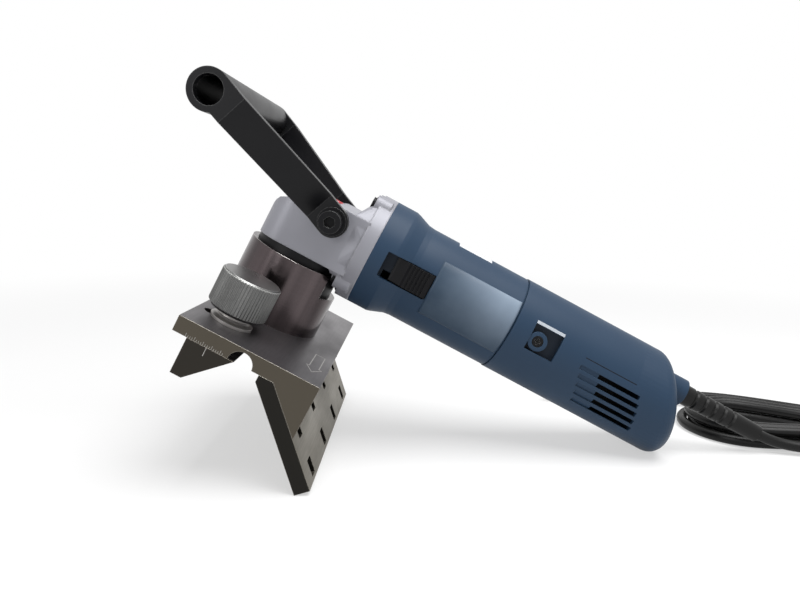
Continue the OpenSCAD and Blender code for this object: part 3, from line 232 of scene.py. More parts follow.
# %% [markdown]
# ## Grids
# Every new piece is a grid of points worked out with numpy. Pushing vertices about
# by hand would do for one piece, but a formula can be read, checked and changed.
# Two helpers turn a grid into a mesh: one lists the quads between neighbouring
# points, and the other makes the object, turns its faces outwards and hangs it on
# a body.

# %% Grids and pieces
def grid_faces(rows, cols, wrap_cols=False):
    """Quad (i, j) joins points (i, j), (i+1, j), (i+1, j+1) and (i, j+1).
    Wrapping joins the last column to the first."""
    last = cols if wrap_cols else cols - 1
    i, j = np.meshgrid(np.arange(rows - 1), np.arange(last), indexing="ij")
    k = (j + 1) % cols
    quads = [i * cols + j, (i + 1) * cols + j, (i + 1) * cols + k, i * cols + k]
    return np.stack(quads, axis=-1).reshape(-1, 4)


def make_piece(name, points, faces, body, smooth=True):
    """A mesh at the origin from points in metres and lists of corner numbers."""
    mesh = bpy.data.meshes.new(name)
    places = np.reshape(points, (-1, 3)).tolist()
    mesh.from_pydata(places, [], [list(map(int, f)) for f in faces])
    work = bmesh.new()
    work.from_mesh(mesh)
    bmesh.ops.recalc_face_normals(work, faces=work.faces)
    work.to_mesh(mesh)
    work.free()
    mesh.polygons.foreach_set("use_smooth", np.full(len(mesh.polygons), smooth))
    obj = bpy.data.objects.new(name, mesh)
    bpy.context.scene.collection.objects.link(obj)
    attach(obj, body)
    print("piece:", name, "with", len(mesh.polygons), "faces on", body)
    return obj


print("a grid of 3 by 4 points has", len(grid_faces(3, 4)), "quads")

# %% [markdown]
# ## The mains lead
# A lead of this kind is about two and a half metres long, so most of it is folded
# into a hank that a strap holds. A physics run could drop it on the table, but then
# it would not lie where the solids are. So the route is the one the solids follow:
# out of the strain relief, down to the table, round the loops of the hank, and on
# to the plug behind the body. A hank point is worked out from one number, its step:
# 24 steps make a loop.

# %% Loops of the hank
CORD_D = 7.0
RUN_L, FOLD_R, LOOP_PITCH = 112.0, 21.0, 7.9
WAIST_DRAW, WAIST_LIFT = 10.0, 1.6
HANK_PLACE, HANK_TURN = (237.0, 25.0), math.radians(-22.0)
HANK_LOOPS, LOOP_STEPS = 3, 24
RIGHT_FROM, RIGHT_TO, LEFT_FROM, LEFT_TO = 3, 9, 15, 21
CLIMB_STEPS, TOP_STEPS = 6, 60
LAYER_STEP = CORD_D + 0.5
CLIMB_FROM = (HANK_LOOPS - 1) * LOOP_STEPS + LEFT_TO
CLIMB_TO = CLIMB_FROM + CLIMB_STEPS
HANK_STEPS = CLIMB_TO + TOP_STEPS
OUTER_R = FOLD_R + HANK_LOOPS * LOOP_PITCH


def hank_points(step):
    """Within a loop, steps 0-3 and 21-24 run along the front, 3-9 fold at the right,
    9-15 run along the back and 15-21 fold at the left. The radius shrinks by a pitch per
    loop on the table, then the lead climbs a layer and the radius grows again."""
    s = step % LOOP_STEPS
    going_in = np.maximum(FOLD_R, OUTER_R - LOOP_PITCH * step / LOOP_STEPS)
    going_out = FOLD_R + LOOP_PITCH * np.maximum(0, step - CLIMB_TO) / LOOP_STEPS
    r = np.where(step < CLIMB_FROM + CLIMB_STEPS / 2, going_in, going_out)
    climb = np.clip((step - CLIMB_FROM) / CLIMB_STEPS, 0, 1)
    z = CORD_D / 2 + LAYER_STEP * (1 - np.cos(np.pi * climb)) / 2

    half_run, half_steps = RUN_L / 2, RIGHT_FROM
    front = (s <= RIGHT_FROM) | (s >= LEFT_TO)
    on_run = front | ((s >= RIGHT_TO) & (s <= LEFT_FROM))
    returning = np.where(s >= LEFT_TO, (s - LEFT_TO) / half_steps - 1,
                         1 - (s - RIGHT_TO) / half_steps)
    run_x = np.where(s <= RIGHT_FROM, s / half_steps, returning) * half_run
    waist = (1 + np.cos(np.pi * run_x / half_run)) / 2
    side = np.where(front, -1, 1)

    at_right = s < RIGHT_TO
    step_angle = np.pi / (RIGHT_TO - RIGHT_FROM)
    fold = np.where(at_right, -np.pi / 2 + step_angle * (s - RIGHT_FROM),
                    np.pi / 2 + step_angle * (s - LEFT_FROM))
    fold_end = np.where(at_right, half_run, -half_run)

    x = np.where(on_run, run_x, fold_end + r * np.cos(fold))
    y = np.where(on_run, side * (r - WAIST_DRAW * waist), r * np.sin(fold))
    z = np.where(on_run, z + WAIST_LIFT * waist, z)
    cos_h, sin_h = math.cos(HANK_TURN), math.sin(HANK_TURN)
    return np.stack([HANK_PLACE[0] + x * cos_h - y * sin_h,
                     HANK_PLACE[1] + x * sin_h + y * cos_h, z], axis=-1)


HANK_FINE = 8
hank = hank_points(np.linspace(0, HANK_STEPS, HANK_STEPS * HANK_FINE + 1))
print("hank:", len(hank), "points in", round(HANK_STEPS / LOOP_STEPS, 2), "loops")

# %% [markdown]
# The two ends of the lead are smooth curves through a few points. A curve object
# could do that, but its handles would have to be set one by one. Here each span is
# a cubic that takes its slopes from the points beside it. The whole route is then
# spaced evenly and eased a little, so that no joint between its stretches shows as
# a kink.

# %% Route of the lead
RELIEF_END = [315.5, 0.0, 80.4]
LEAD_POINTS = [[181.5, -0.2, 9.6], [188.7, -0.8, 7.4], [197, -2, 6], [206, -3.4, 5.3],
               [215.2, -5, 5.1]]
END_POINTS = [[190, 88.2, 10.9], [178, 93.4, 10.2], [164, 99.2, 8.8], [150, 104, 7.6],
              [137, 107.6, 7.8], [124, 109.6, 9.2]]
PLUG_AT = [112.0, 110.0, 10.0]
SPAN_STEPS, ROUTE_STEP, EASE_POINTS = 8, 2.0, 7


def spline(points, per_span):
    """Cubic through its points: from p1 to p2 the tangents are (p2 - p0) / 2 and (p3 - p1) / 2."""
    p = np.asarray(points, float)
    p = np.vstack([2 * p[0] - p[1], p, 2 * p[-1] - p[-2]])
    t = np.linspace(0, 1, per_span, endpoint=False)[None, :, None]
    p0, p1, p2, p3 = (p[i:len(p) - 3 + i, None] for i in range(4))
    square, cube = 2 * p0 - 5 * p1 + 4 * p2 - p3, 3 * p1 - p0 - 3 * p2 + p3
    curve = 0.5 * (2 * p1 + (p2 - p0) * t + square * t ** 2 + cube * t ** 3)
    return np.vstack([curve.reshape(-1, 3), p[-2]])


def evenly(points, step):
    """The same line with its points a fixed distance apart, by interpolation over arc length."""
    run = np.concatenate([[0], np.cumsum(np.linalg.norm(np.diff(points, axis=0), axis=1))])
    marks = np.linspace(0, run[-1], int(run[-1] / step) + 1)
    return np.stack([np.interp(marks, run, points[:, i]) for i in range(3)], axis=-1)


def eased(points, window):
    """Each point becomes a mean of its neighbours under a raised-cosine window; the ends stay."""
    kernel = np.hanning(window)[1:-1]
    kernel = kernel / kernel.sum()
    margin = len(kernel) // 2
    padded = np.pad(points, ((margin, margin), (0, 0)), mode="edge")
    calm = np.stack([np.convolve(padded[:, i], kernel, mode="valid") for i in range(3)], axis=-1)
    calm[:margin], calm[-margin:] = points[:margin], points[-margin:]
    return calm


exit_point = to_room(RELIEF_END) / MM
lead = spline(np.vstack([[exit_point], LEAD_POINTS, hank[:1]]), SPAN_STEPS)
end = spline(np.vstack([hank[-1:], END_POINTS, [PLUG_AT]]), SPAN_STEPS)
route = evenly(np.vstack([lead[:-1], hank, end[1:]]), ROUTE_STEP)
route = eased(route, EASE_POINTS) * MM

# %% [markdown]
# The lead is a round rubber sheath. A curve with a bevel would draw it in one line,
# but a tube worked out as rings along the route can be checked point by point. It
# stands for the three stiff solids of the cord.

# %% Tube of the lead
CORD_SIDES = 14
UP = [0.0, 0.0, 1.0]


def tube_points(path, radius, sides):
    """Ring point = path point + radius (cos a * side + sin a * top), with side = up x heading
    and top = heading x side."""
    heading = np.gradient(path, axis=0)
    heading /= np.linalg.norm(heading, axis=1, keepdims=True)
    side = np.cross(UP, heading)
    side /= np.linalg.norm(side, axis=1, keepdims=True)
    top = np.cross(heading, side)
    a = np.linspace(0, 2 * np.pi, sides, endpoint=False)[None, :, None]
    return path[:, None] + radius * (np.cos(a) * side[:, None] + np.sin(a) * top[:, None])


rings = tube_points(route, CORD_D / 2 * MM, CORD_SIDES)
skin = grid_faces(len(route), CORD_SIDES, wrap_cols=True).tolist()
last_ring = (len(route) - 1) * CORD_SIDES
caps = [list(range(CORD_SIDES)), list(range(last_ring, last_ring + CORD_SIDES))]
mains_lead = make_piece("mains_lead", rings, skin + caps, "machine")
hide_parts("cord_lead", "cord_hank", "cord_end")

# %% [markdown]
# ## Finishes
# Each finish is a small node tree on Object coordinates, turned into the tool
# frame so that a grain can run along the body or round the spindle. Pictures of
# surfaces would need unwrapping and would show seams, and noise does not. A grain
# is noise stretched along one axis.

# %% Materials and places
finishes = {}


def new_finish(name, colour, roughness, metallic=0.0, **sockets):
    """A Principled material in the list of finishes, its plain values on the shader's sockets."""
    material = bpy.data.materials.new(name)
    material.use_nodes = True
    shader = material.node_tree.nodes["Principled BSDF"]
    shader.inputs["Base Color"].default_value = (*colour, 1.0)
    shader.inputs["Roughness"].default_value = roughness
    shader.inputs["Metallic"].default_value = metallic
    for socket, value in sockets.items():
        shader.inputs[socket.replace("_", " ")].default_value = value
    finishes[name] = material
    return material.node_tree, shader


def tool_place(tree, stretch=(1.0, 1.0, 1.0)):
    """Object coordinates turned into the tool frame, then scaled along its axes."""
    coords = tree.nodes.new("ShaderNodeTexCoord")
    turn = tree.nodes.new("ShaderNodeMapping")
    turn.inputs["Rotation"].default_value = (0.0, -TILT, 0.0)
    x, y, z = -(REST * MM)
    turn.inputs["Location"].default_value = (x * COS_T - z * SIN_T, y, x * SIN_T + z * COS_T)
    link(tree, coords.outputs["Object"], turn.inputs["Vector"])
    scale = tree.nodes.new("ShaderNodeMapping")
    scale.inputs["Scale"].default_value = stretch
    link(tree, turn.outputs["Vector"], scale.inputs["Vector"])
    return scale.outputs["Vector"]


def tool_xyz(tree):
    """The three tool coordinates as sockets of their own."""
    parts = tree.nodes.new("ShaderNodeSeparateXYZ")
    link(tree, tool_place(tree), parts.inputs[0])
    return parts.outputs["X"], parts.outputs["Y"], parts.outputs["Z"]


def grain(tree, size, stretch=(1.0, 1.0, 1.0), detail=4.0):
    """Noise whose cells are about size metres, divided by the stretch along each axis."""
    noise = tree.nodes.new("ShaderNodeTexNoise")
    noise.inputs["Scale"].default_value = 1.0 / size
    noise.inputs["Detail"].default_value = detail
    link(tree, tool_place(tree, stretch), noise.inputs["Vector"])
    return noise.outputs["Fac"]


print("places and grains are ready")

# %% [markdown]
# No real surface is of one tone, so colours are mixed by a grain or by a place on
# the tool. A colour ramp could do this, but a range and a mix keep each tone in
# plain sight in the code.

# %% Mixing
def between(tree, factor, low, high, from_low=0.3, from_high=0.7):
    """Maps a factor from its usual range onto low to high."""
    span = tree.nodes.new("ShaderNodeMapRange")
    for socket, value in (("From Min", from_low), ("From Max", from_high),
                          ("To Min", low), ("To Max", high)):
        span.inputs[socket].default_value = value
    link(tree, factor, span.inputs["Value"])
    return span.outputs["Result"]


def mixed(tree, factor, a, b):
    """Mixes two colours, each a tuple or a socket."""
    mix = tree.nodes.new("ShaderNodeMix")
    mix.data_type = "RGBA"
    link(tree, factor, mix.inputs["Factor"])
    for socket, value in ((mix.inputs[6], a), (mix.inputs[7], b)):
        if isinstance(value, tuple):
            socket.default_value = (*value, 1.0)
        else:
            link(tree, value, socket)
    return mix.outputs[2]


def overlaid(tree, factor, colour):
    """Mixes a colour over what already feeds the shader's base colour."""
    base = tree.nodes["Principled BSDF"].inputs["Base Color"]
    link(tree, mixed(tree, factor, base.links[0].from_socket, colour), base)


print("mixing is ready")

# %% [markdown]
# No real edge is sharp. Bevelling the solids would add many faces, so the Bevel node
# rounds their edges in shading only. An edge mask is where that rounded normal leaves
# the true one, which marks edges from any side; it lays lighter edges that are partly
# wear and partly a painted highlight. A skin is a height that is fed into the normal.

# %% Edges and skins
BEVEL_SAMPLES = 4
EDGE_MASK_FULL, EDGE_MASK_NONE = 0.8, 0.99


def soft_edge(tree, radius):
    """(rounded normal, mask): the mask, for rubbed and highlighted edges, falls from 1 to 0 as
    true normal . rounded normal rises from 0.8 to 0.99."""
    bevel = tree.nodes.new("ShaderNodeBevel")
    bevel.samples = BEVEL_SAMPLES
    bevel.inputs["Radius"].default_value = radius
    geometry = tree.nodes.new("ShaderNodeNewGeometry")
    dot = tree.nodes.new("ShaderNodeVectorMath")
    dot.operation = "DOT_PRODUCT"
    link(tree, bevel.outputs["Normal"], dot.inputs[0])
    link(tree, geometry.outputs["Normal"], dot.inputs[1])
    # The mask lays lighter edges: partly wear, partly a painted highlight.
    wear_and_highlight_mask = between(tree, dot.outputs["Value"], 1.0, 0.0, EDGE_MASK_FULL, EDGE_MASK_NONE)
    return bevel.outputs["Normal"], wear_and_highlight_mask


def rough_skin(tree, shader, height, depth, normal=None, strength=0.5):
    """Feeds a height into the shader's normal, over the rounded normal if there is one."""
    bump = tree.nodes.new("ShaderNodeBump")
    bump.inputs["Strength"].default_value = strength
    bump.inputs["Distance"].default_value = depth
    link(tree, height, bump.inputs["Height"])
    if normal is not None:
        link(tree, normal, bump.inputs["Normal"])
    link(tree, bump.outputs["Normal"], shader.inputs["Normal"])


print("edges and skins are ready")

# %% [markdown]
# Machined steel carries the marks of the tool that cut it. A brushed look could come
# from anisotropic gloss alone, but the marks are seen from close by, so fine streaks
# in tone and height are used. Broad bands vary the roughness for the uneven shine,
# and their tone is a painted reflection. Edges are lighter, partly worn and partly a
# painted highlight. Faces that look along the tool's Y can get a painted shade, and
# faces that look up its Z a painted highlight.

# %% Ground steel
STREAK_CELL, STREAK_DETAIL, STREAK_DEPTH, STREAK_BUMP = 0.0009, 5.0, 0.00004, 0.25
BAND_DETAIL, BAND_SHARE, REFLECTION_BAND_SHADE = 3.0, 0.7, 0.6
SMOOTHER, ROUGHER = 0.07, 0.09
FACING_FROM, FACING_TO = 0.8, 0.95
TOOL_Y, TOOL_Z = (0, 1, 0), (0, 0, 1)


def painted_facing_light(tree, axis, tone, colour):
    """Paints the faces that look along an axis of the tool with a colour that stands for
    their light and shade: factor = |n . axis| from 0.8 to 0.95."""
    coords = tree.nodes.new("ShaderNodeTexCoord")
    dot = tree.nodes.new("ShaderNodeVectorMath")
    dot.operation = "DOT_PRODUCT"
    dot.inputs[1].default_value = turned(axis).tolist()
    link(tree, coords.outputs["Normal"], dot.inputs[0])
    facing = math_node(tree, "ABSOLUTE", dot.outputs["Value"])
    return mixed(tree, between(tree, facing, 0.0, 1.0, FACING_FROM, FACING_TO), tone, colour)


def ground_steel(name, dark, light, roughness, metallic=0.9, streak=(1.0, 0.04, 1.0),
                 edge=(0.4, 0.38, 0.35), radius=0.0006, bands=(1.0, 0.5, 1.0), band_size=0.03,
                 reflection_band_tone=None, ends=None, top_highlight=None):
    """Streaks of two tones along the grinding direction, broad bands of painted reflection,
    and lighter edges, partly rubbed and partly a painted highlight; the colours for ends
    and top faces are a painted shade and a painted highlight on faces along the tool's
    Y and Z."""
    tree, shader = new_finish(name, dark, roughness, metallic)
    normal, wear_and_highlight = soft_edge(tree, radius)
    lines = grain(tree, STREAK_CELL, streak, STREAK_DETAIL)
    clouds = grain(tree, band_size, bands, BAND_DETAIL)
    # The band tone is a painted reflection.
    reflection_band_tone = reflection_band_tone or tuple(REFLECTION_BAND_SHADE * c for c in dark)
    tone = mixed(tree, between(tree, lines, 0.0, 1.0), dark, light)
    tone = mixed(tree, between(tree, clouds, 0.0, BAND_SHARE), tone, reflection_band_tone)
    # Ends get a painted shade and top faces a painted highlight.
    for axis, colour in ((TOOL_Y, ends), (TOOL_Z, top_highlight)):
        if colour is not None:
            tone = painted_facing_light(tree, axis, tone, colour)
    link(tree, mixed(tree, wear_and_highlight, tone, edge), shader.inputs["Base Color"])
    shine = between(tree, clouds, roughness - SMOOTHER, roughness + ROUGHER)
    link(tree, shine, shader.inputs["Roughness"])
    rough_skin(tree, shader, lines, STREAK_DEPTH, normal, STREAK_BUMP)
    return tree


print("ground steel is ready")

# %% [markdown]
# The plate and the guides are dark and ground along the feed. Their ends are darker
# still, and that is painted shade. The studs and rollers are turned bright. The collar
# is polished, a little brown, with lighter bands up its side that are painted
# reflections, and its turning marks run round it. One steel for all would be simpler,
# but these differ at a glance on the real machine.

# %% Steel of the plate, the guides and the drive
ALONG_Z, ROUND_Z = (1.0, 1.0, 0.15), (0.05, 0.05, 1.0)
# The ends colours of the plate, the guides and the block are painted shade.
ground_steel("plate_steel", (0.148, 0.14, 0.148), (0.188, 0.178, 0.186), 0.38,
             edge=(0.3, 0.28, 0.25), ends=(0.078, 0.068, 0.053))
ground_steel("guide_steel", (0.15, 0.136, 0.108), (0.215, 0.197, 0.16), 0.46, 0.8,
             edge=(0.3, 0.28, 0.24), ends=(0.012, 0.011, 0.009))
ground_steel("gear_steel", (0.3, 0.3, 0.3), (0.42, 0.42, 0.42), 0.34)
ground_steel("bearing_steel", (0.5, 0.5, 0.5), (0.62, 0.62, 0.62), 0.2)
ground_steel("carbide", (0.46, 0.37, 0.17), (0.6, 0.5, 0.26), 0.32)
# The lighter band tones of the bright steel and the collar are painted reflections, and the
# collar's bright edge is partly a painted highlight.
ground_steel("bright_steel", (0.11, 0.11, 0.11), (0.15, 0.15, 0.147), 0.3, 0.95, streak=ALONG_Z,
             edge=(0.36, 0.36, 0.355), radius=0.0004, reflection_band_tone=(0.18, 0.18, 0.177))
ground_steel("collar_steel", (0.034, 0.028, 0.029), (0.045, 0.037, 0.038), 0.22, 0.95,
             streak=(0.05, 0.05, 1.4), edge=(0.6, 0.57, 0.55), radius=0.0007,
             bands=(1.0, 1.0, 0.02), band_size=0.014, reflection_band_tone=(0.15, 0.121, 0.125))
ground_steel("block_steel", (0.05, 0.045, 0.04), (0.075, 0.068, 0.06), 0.45, 0.8,
             edge=(0.2, 0.18, 0.15), ends=(0.024, 0.021, 0.017))
ground_steel("washer_steel", (0.36, 0.345, 0.33), (0.42, 0.404, 0.388), 0.36, 0.7,
             streak=ROUND_Z, edge=(0.4, 0.385, 0.37), radius=0.0004)
print("steel finishes:", len(finishes))

# %% [markdown]
# The knob's knurl gets a painted highlight along its upper rim, where the light from
# above catches it. The edge mask alone would brighten the lower rim too, so it is
# multiplied by the height on the knob. The top faces of the knob carry a painted
# highlight as well, and its lighter bands are painted reflections.

# %% Steel of the knob
RIM_FROM, RIM_TO, RIM_RADIUS = 26.9, 27.6, 0.0009
RIM_HIGHLIGHT_TONE = (0.8, 0.8, 0.78)
tree = ground_steel("knob_steel", (0.08, 0.08, 0.08), (0.112, 0.112, 0.11), 0.32,
                    streak=ALONG_Z, edge=(0.3, 0.3, 0.295), radius=0.0004,
                    reflection_band_tone=(0.15, 0.15, 0.147), top_highlight=(0.25, 0.246, 0.244))
_, _, height = tool_xyz(tree)
# Painted highlight on the upper rim of the knurl.
rim_highlight_mask = between(tree, height, 0.0, 1.0, RIM_FROM * MM, RIM_TO * MM)
_, wear_and_highlight = soft_edge(tree, RIM_RADIUS)
overlaid(tree, math_node(tree, "MULTIPLY", rim_highlight_mask, wear_and_highlight), RIM_HIGHLIGHT_TONE)
print("the knob is bright from", RIM_FROM, "mm up")

# %% [markdown]
# Copper, bronze and plated brass sit inside the body or on the plug. They are
# warm metals with cloudy tarnish, so one function mixes a clean and a dull tone.
# Windings are bands of varnished wire: noise stretched along the motor draws the
# wires without modelling each of them.

# %% Warm metals and windings
TARNISH_DETAIL, TARNISH_ROUGH, TARNISH_DEPTH, TARNISH_BUMP = 5.0, 0.2, 0.00005, 0.2
TARNISH_RADIUS = 0.0004
EVEN = (1.0, 1.0, 1.0)


def tarnished(name, clean, dull, roughness, size):
    """A clean and a dull tone mixed in clouds, rougher where it is dull."""
    tree, shader = new_finish(name, clean, roughness, 1.0)
    clouds = grain(tree, size, EVEN, TARNISH_DETAIL)
    normal, _ = soft_edge(tree, TARNISH_RADIUS)
    tone = mixed(tree, between(tree, clouds, 0.0, 1.0), clean, dull)
    link(tree, tone, shader.inputs["Base Color"])
    shine = between(tree, clouds, roughness, roughness + TARNISH_ROUGH)
    link(tree, shine, shader.inputs["Roughness"])
    rough_skin(tree, shader, clouds, TARNISH_DEPTH, normal, TARNISH_BUMP)


tarnished("bronze", (0.62, 0.43, 0.18), (0.4, 0.26, 0.1), roughness=0.35, size=0.003)
tarnished("copper", (0.7, 0.38, 0.2), (0.42, 0.21, 0.1), roughness=0.3, size=0.002)
tarnished("pin_metal", (0.5, 0.47, 0.41), (0.4, 0.37, 0.3), roughness=0.28, size=0.004)

WIRE_CELL, WIRE_STRETCH, WIRE_DETAIL, WIRE_DEPTH = 0.0012, (0.06, 1.0, 1.0), 2.0, 0.0003
WIRE_LIGHT, WIRE_DARK = (0.36, 0.17, 0.06), (0.14, 0.06, 0.025)
tree, shader = new_finish("winding", (0.3, 0.14, 0.05), roughness=0.4, metallic=0.5)
wires = grain(tree, WIRE_CELL, WIRE_STRETCH, WIRE_DETAIL)
tone = mixed(tree, between(tree, wires, 0.0, 1.0), WIRE_LIGHT, WIRE_DARK)
link(tree, tone, shader.inputs["Base Color"])
rough_skin(tree, shader, wires, WIRE_DEPTH)
print("finishes so far:", len(finishes))

# %% [markdown]
# Paint and plastic have a fine skin and a slow drift in tone. A plain colour would
# look like clay, so one function gives them both and, where asked, lighter edges that
# are partly rubbed and partly a painted highlight.

# %% Moulded skins
SKIN_DETAIL, SKIN_BUMP = 2.0, 0.35
DRIFT_SIZE, DRIFT_DETAIL, DRIFT_SHARE = 0.05, 4.0, 0.5
WEAR_HIGHLIGHT_SHARE = 0.6
GLOSSIER, DULLER = 0.05, 0.06


def moulded(name, colour, shade, roughness, cell, depth, radius, metallic=0.0, edge=None,
            **sockets):
    """A skin of fine noise over rounded edges; broad clouds shift the tone, and edges are
    lighter, partly rubbed and partly a painted highlight."""
    tree, shader = new_finish(name, colour, roughness, metallic, **sockets)
    normal, wear_and_highlight = soft_edge(tree, radius)
    skin = grain(tree, cell, EVEN, SKIN_DETAIL)
    clouds = grain(tree, DRIFT_SIZE, EVEN, DRIFT_DETAIL)
    tone = mixed(tree, between(tree, clouds, 0.0, DRIFT_SHARE), colour, shade)
    if edge is not None:
        tone = mixed(tree, math_node(tree, "MULTIPLY", wear_and_highlight, WEAR_HIGHLIGHT_SHARE), tone, edge)
    link(tree, tone, shader.inputs["Base Color"])
    shine = between(tree, clouds, roughness - GLOSSIER, roughness + DULLER)
    link(tree, shine, shader.inputs["Roughness"])
    rough_skin(tree, shader, skin, depth, normal, SKIN_BUMP)
    return tree


print("moulded skins are ready")

# %% [markdown]
# The gear case is a casting under satin grey paint: a fine orange-peel skin, with
# softly rounded edges. The motor body is a blue moulding with a faint spark-eroded
# texture. Black parts differ in gloss: paint on the handle, oxide on screws, plastic
# on the switch. One black for all would be quicker, but the gloss is what tells
# these parts from each other.

# %% Paint and plastic
# The edge colours below are partly wear and partly a painted highlight.
moulded("grey_casting", (0.255, 0.256, 0.285), (0.23, 0.231, 0.258), roughness=0.42, cell=0.0011,
        depth=0.00005, radius=0.0014, metallic=0.2, edge=(0.4, 0.4, 0.43), Specular_IOR_Level=0.3)
blue = moulded("housing_blue", (0.019, 0.04, 0.074), (0.016, 0.034, 0.064), roughness=0.48,
               cell=0.0006, depth=0.00004, radius=0.0008, edge=(0.036, 0.066, 0.11),
               Specular_IOR_Level=0.18)
moulded("switch_black", (0.005, 0.005, 0.006), (0.004, 0.004, 0.005), roughness=0.42, cell=0.0007,
        depth=0.00004, radius=0.0005, edge=(0.03, 0.03, 0.032), Specular_IOR_Level=0.12)
moulded("black_sleeve", (0.006, 0.006, 0.007), (0.005, 0.005, 0.006), roughness=0.4, cell=0.001,
        depth=0.00003, radius=0.0006, Specular_IOR_Level=0.15)
moulded("handle_black", (0.006, 0.006, 0.007), (0.005, 0.005, 0.006), roughness=0.36, cell=0.0012,
        depth=0.00005, radius=0.0007, edge=(0.22, 0.22, 0.22), Specular_IOR_Level=0.18)
moulded("dark_screws", (0.007, 0.007, 0.008), (0.005, 0.005, 0.006), roughness=0.34, cell=0.0009,
        depth=0.00003, radius=0.0005, metallic=0.2, edge=(0.2, 0.2, 0.2), Specular_IOR_Level=0.15)
moulded("lock_red", (0.42, 0.02, 0.03), (0.36, 0.016, 0.025), roughness=0.25, cell=0.001,
        depth=0.00002, radius=0.0006)
moulded("carbon", (0.02, 0.02, 0.021), (0.014, 0.014, 0.014), roughness=0.6, cell=0.0006,
        depth=0.00005, radius=0.0003)
moulded("cord_black", (0.006, 0.006, 0.006), (0.005, 0.005, 0.005), roughness=0.36, cell=0.0008,
        depth=0.00004, radius=0.0006, Specular_IOR_Level=0.2)
print("finishes so far:", len(finishes))

# %% [markdown]
# The blue moulding is darker where it lies deeper than its skin, in the recess of
# the switch and in the vents, where little light reaches. Lamps alone leave these
# too pale under a white world. Depth is the distance from the motor's axis, so the
# same rule serves both sides of the body.

# %% Dark recesses
AXIS_H = 66.8
SKIN_R, SHADE_R, SHADE_END = 30.0, 28.6, 234.0
SUNK_SHARE, SUNK_TONE = 0.85, (0.004, 0.006, 0.01)
x, y, z = tool_xyz(blue)
height = math_node(blue, "SUBTRACT", z, AXIS_H * MM)
squares = [math_node(blue, "MULTIPLY", v, v) for v in (y, height)]
from_axis = math_node(blue, "SQRT", math_node(blue, "ADD", *squares))
sunk = between(blue, from_axis, SUNK_SHARE, 0.0, SHADE_R * MM, SKIN_R * MM)
before_tail = math_node(blue, "LESS_THAN", x, SHADE_END * MM)
overlaid(blue, math_node(blue, "MULTIPLY", sunk, before_tail), SUNK_TONE)
print("the blue is darkened below", SKIN_R, "mm from the axis")

# %% [markdown]
# The strap round the hank is woven. Threads could be modelled one by one, but at
# this size two wave patterns that cross make the over and under of the threads, on
# coordinates turned with the hank.

# %% Woven strap
WEAVE_SCALE, WEAVE_DEPTH = 380.0, 0.0002
THREAD_LOW, THREAD_HIGH = (0.01, 0.01, 0.011), (0.032, 0.032, 0.033)
tree, shader = new_finish("tie_black", (0.018, 0.018, 0.019), roughness=0.75, Sheen_Weight=0.3)
coords = tree.nodes.new("ShaderNodeTexCoord")
turn = tree.nodes.new("ShaderNodeMapping")
turn.inputs["Rotation"].default_value = (0.0, 0.0, -HANK_TURN)
link(tree, coords.outputs["Object"], turn.inputs["Vector"])
threads = []
for direction in ("X", "DIAGONAL"):
    wave = tree.nodes.new("ShaderNodeTexWave")
    wave.bands_direction = direction
    wave.inputs["Scale"].default_value = WEAVE_SCALE
    link(tree, turn.outputs["Vector"], wave.inputs["Vector"])
    threads.append(wave.outputs["Fac"])
weave = math_node(tree, "MULTIPLY", *threads)
link(tree, mixed(tree, weave, THREAD_LOW, THREAD_HIGH), shader.inputs["Base Color"])
rough_skin(tree, shader, weave, WEAVE_DEPTH)
print("the strap is woven")

# %% [markdown]
# The record of the part names a material slot for each solid, and the finishes
# carry the names of those slots, so they can be handed out in one loop. Three
# pieces share a slot with others and still look different on the machine: these
# get a finish of their own.

# %% Hand the finishes out
OWN_FINISH = {"guide_block": "block_steel", "knob_washer": "washer_steel",
              "clamp_knob": "knob_steel"}
for entry in frame["record"]["subparts"]:
    solid = nodes[entry["node"]]
    material = finishes[OWN_FINISH.get(entry["node"], entry["material_slot"])]
    if not solid.material_slots:
        solid.data.materials.append(material)
    for place in solid.material_slots:
        place.material = material
mains_lead.data.materials.append(finishes["cord_black"])

# %% [markdown]
# ## Thin pieces
# Bare labels lie on the round body: a long glossy panel on the near side and a small
# white one on top. A pale strip along the upper rim of the screw pocket, laid on in
# the same way, is a painted highlight of that rim. A shrinkwrapped plane could follow
# the barrel, but a patch of a cylinder a little larger than it is exact. Each patch is
# given a thickness inwards.

# %% Patches on the barrel
HOUSING_R, COVER_R = 30.8, 31.3
LABEL_PROUD, LABEL_T = 0.12, 0.3


def barrel_patch(x_span, angle_span, radius, rows=40, cols=36):
    """Point(x, a) = (x, -r cos a, axis + r sin a): angle 0 faces the viewer, 90 degrees is up."""
    angles = np.radians(np.linspace(*angle_span, cols))
    x, a = np.meshgrid(np.linspace(*x_span, rows), angles, indexing="ij")
    points = np.stack([x, -radius * np.cos(a), AXIS_H + radius * np.sin(a)], axis=-1)
    return to_room(points), grid_faces(rows, cols)


def thicken(obj, thickness, offset=-1.0):
    """A wall of the given millimetres behind the surface, or on both sides of it at offset 0."""
    wall = obj.modifiers.new("wall", "SOLIDIFY")
    wall.thickness = thickness * MM
    wall.offset = offset


def label(name, x_span, angle_span, radius, finish):
    """A patch on the barrel, made solid inwards so that its rim shows."""
    points, faces = barrel_patch(x_span, angle_span, radius + LABEL_PROUD)
    obj = make_piece(name, points, faces, "machine")
    middle = to_room([sum(x_span) / 2, 0.0, AXIS_H])
    face = obj.data.polygons[len(obj.data.polygons) // 2]
    if np.dot(face.normal, np.array(face.center) - middle) < 0:
        obj.data.flip_normals()
    thicken(obj, LABEL_T)
    obj.data.materials.append(finishes[finish])


print("labels stand", LABEL_PROUD, "mm off the barrel")

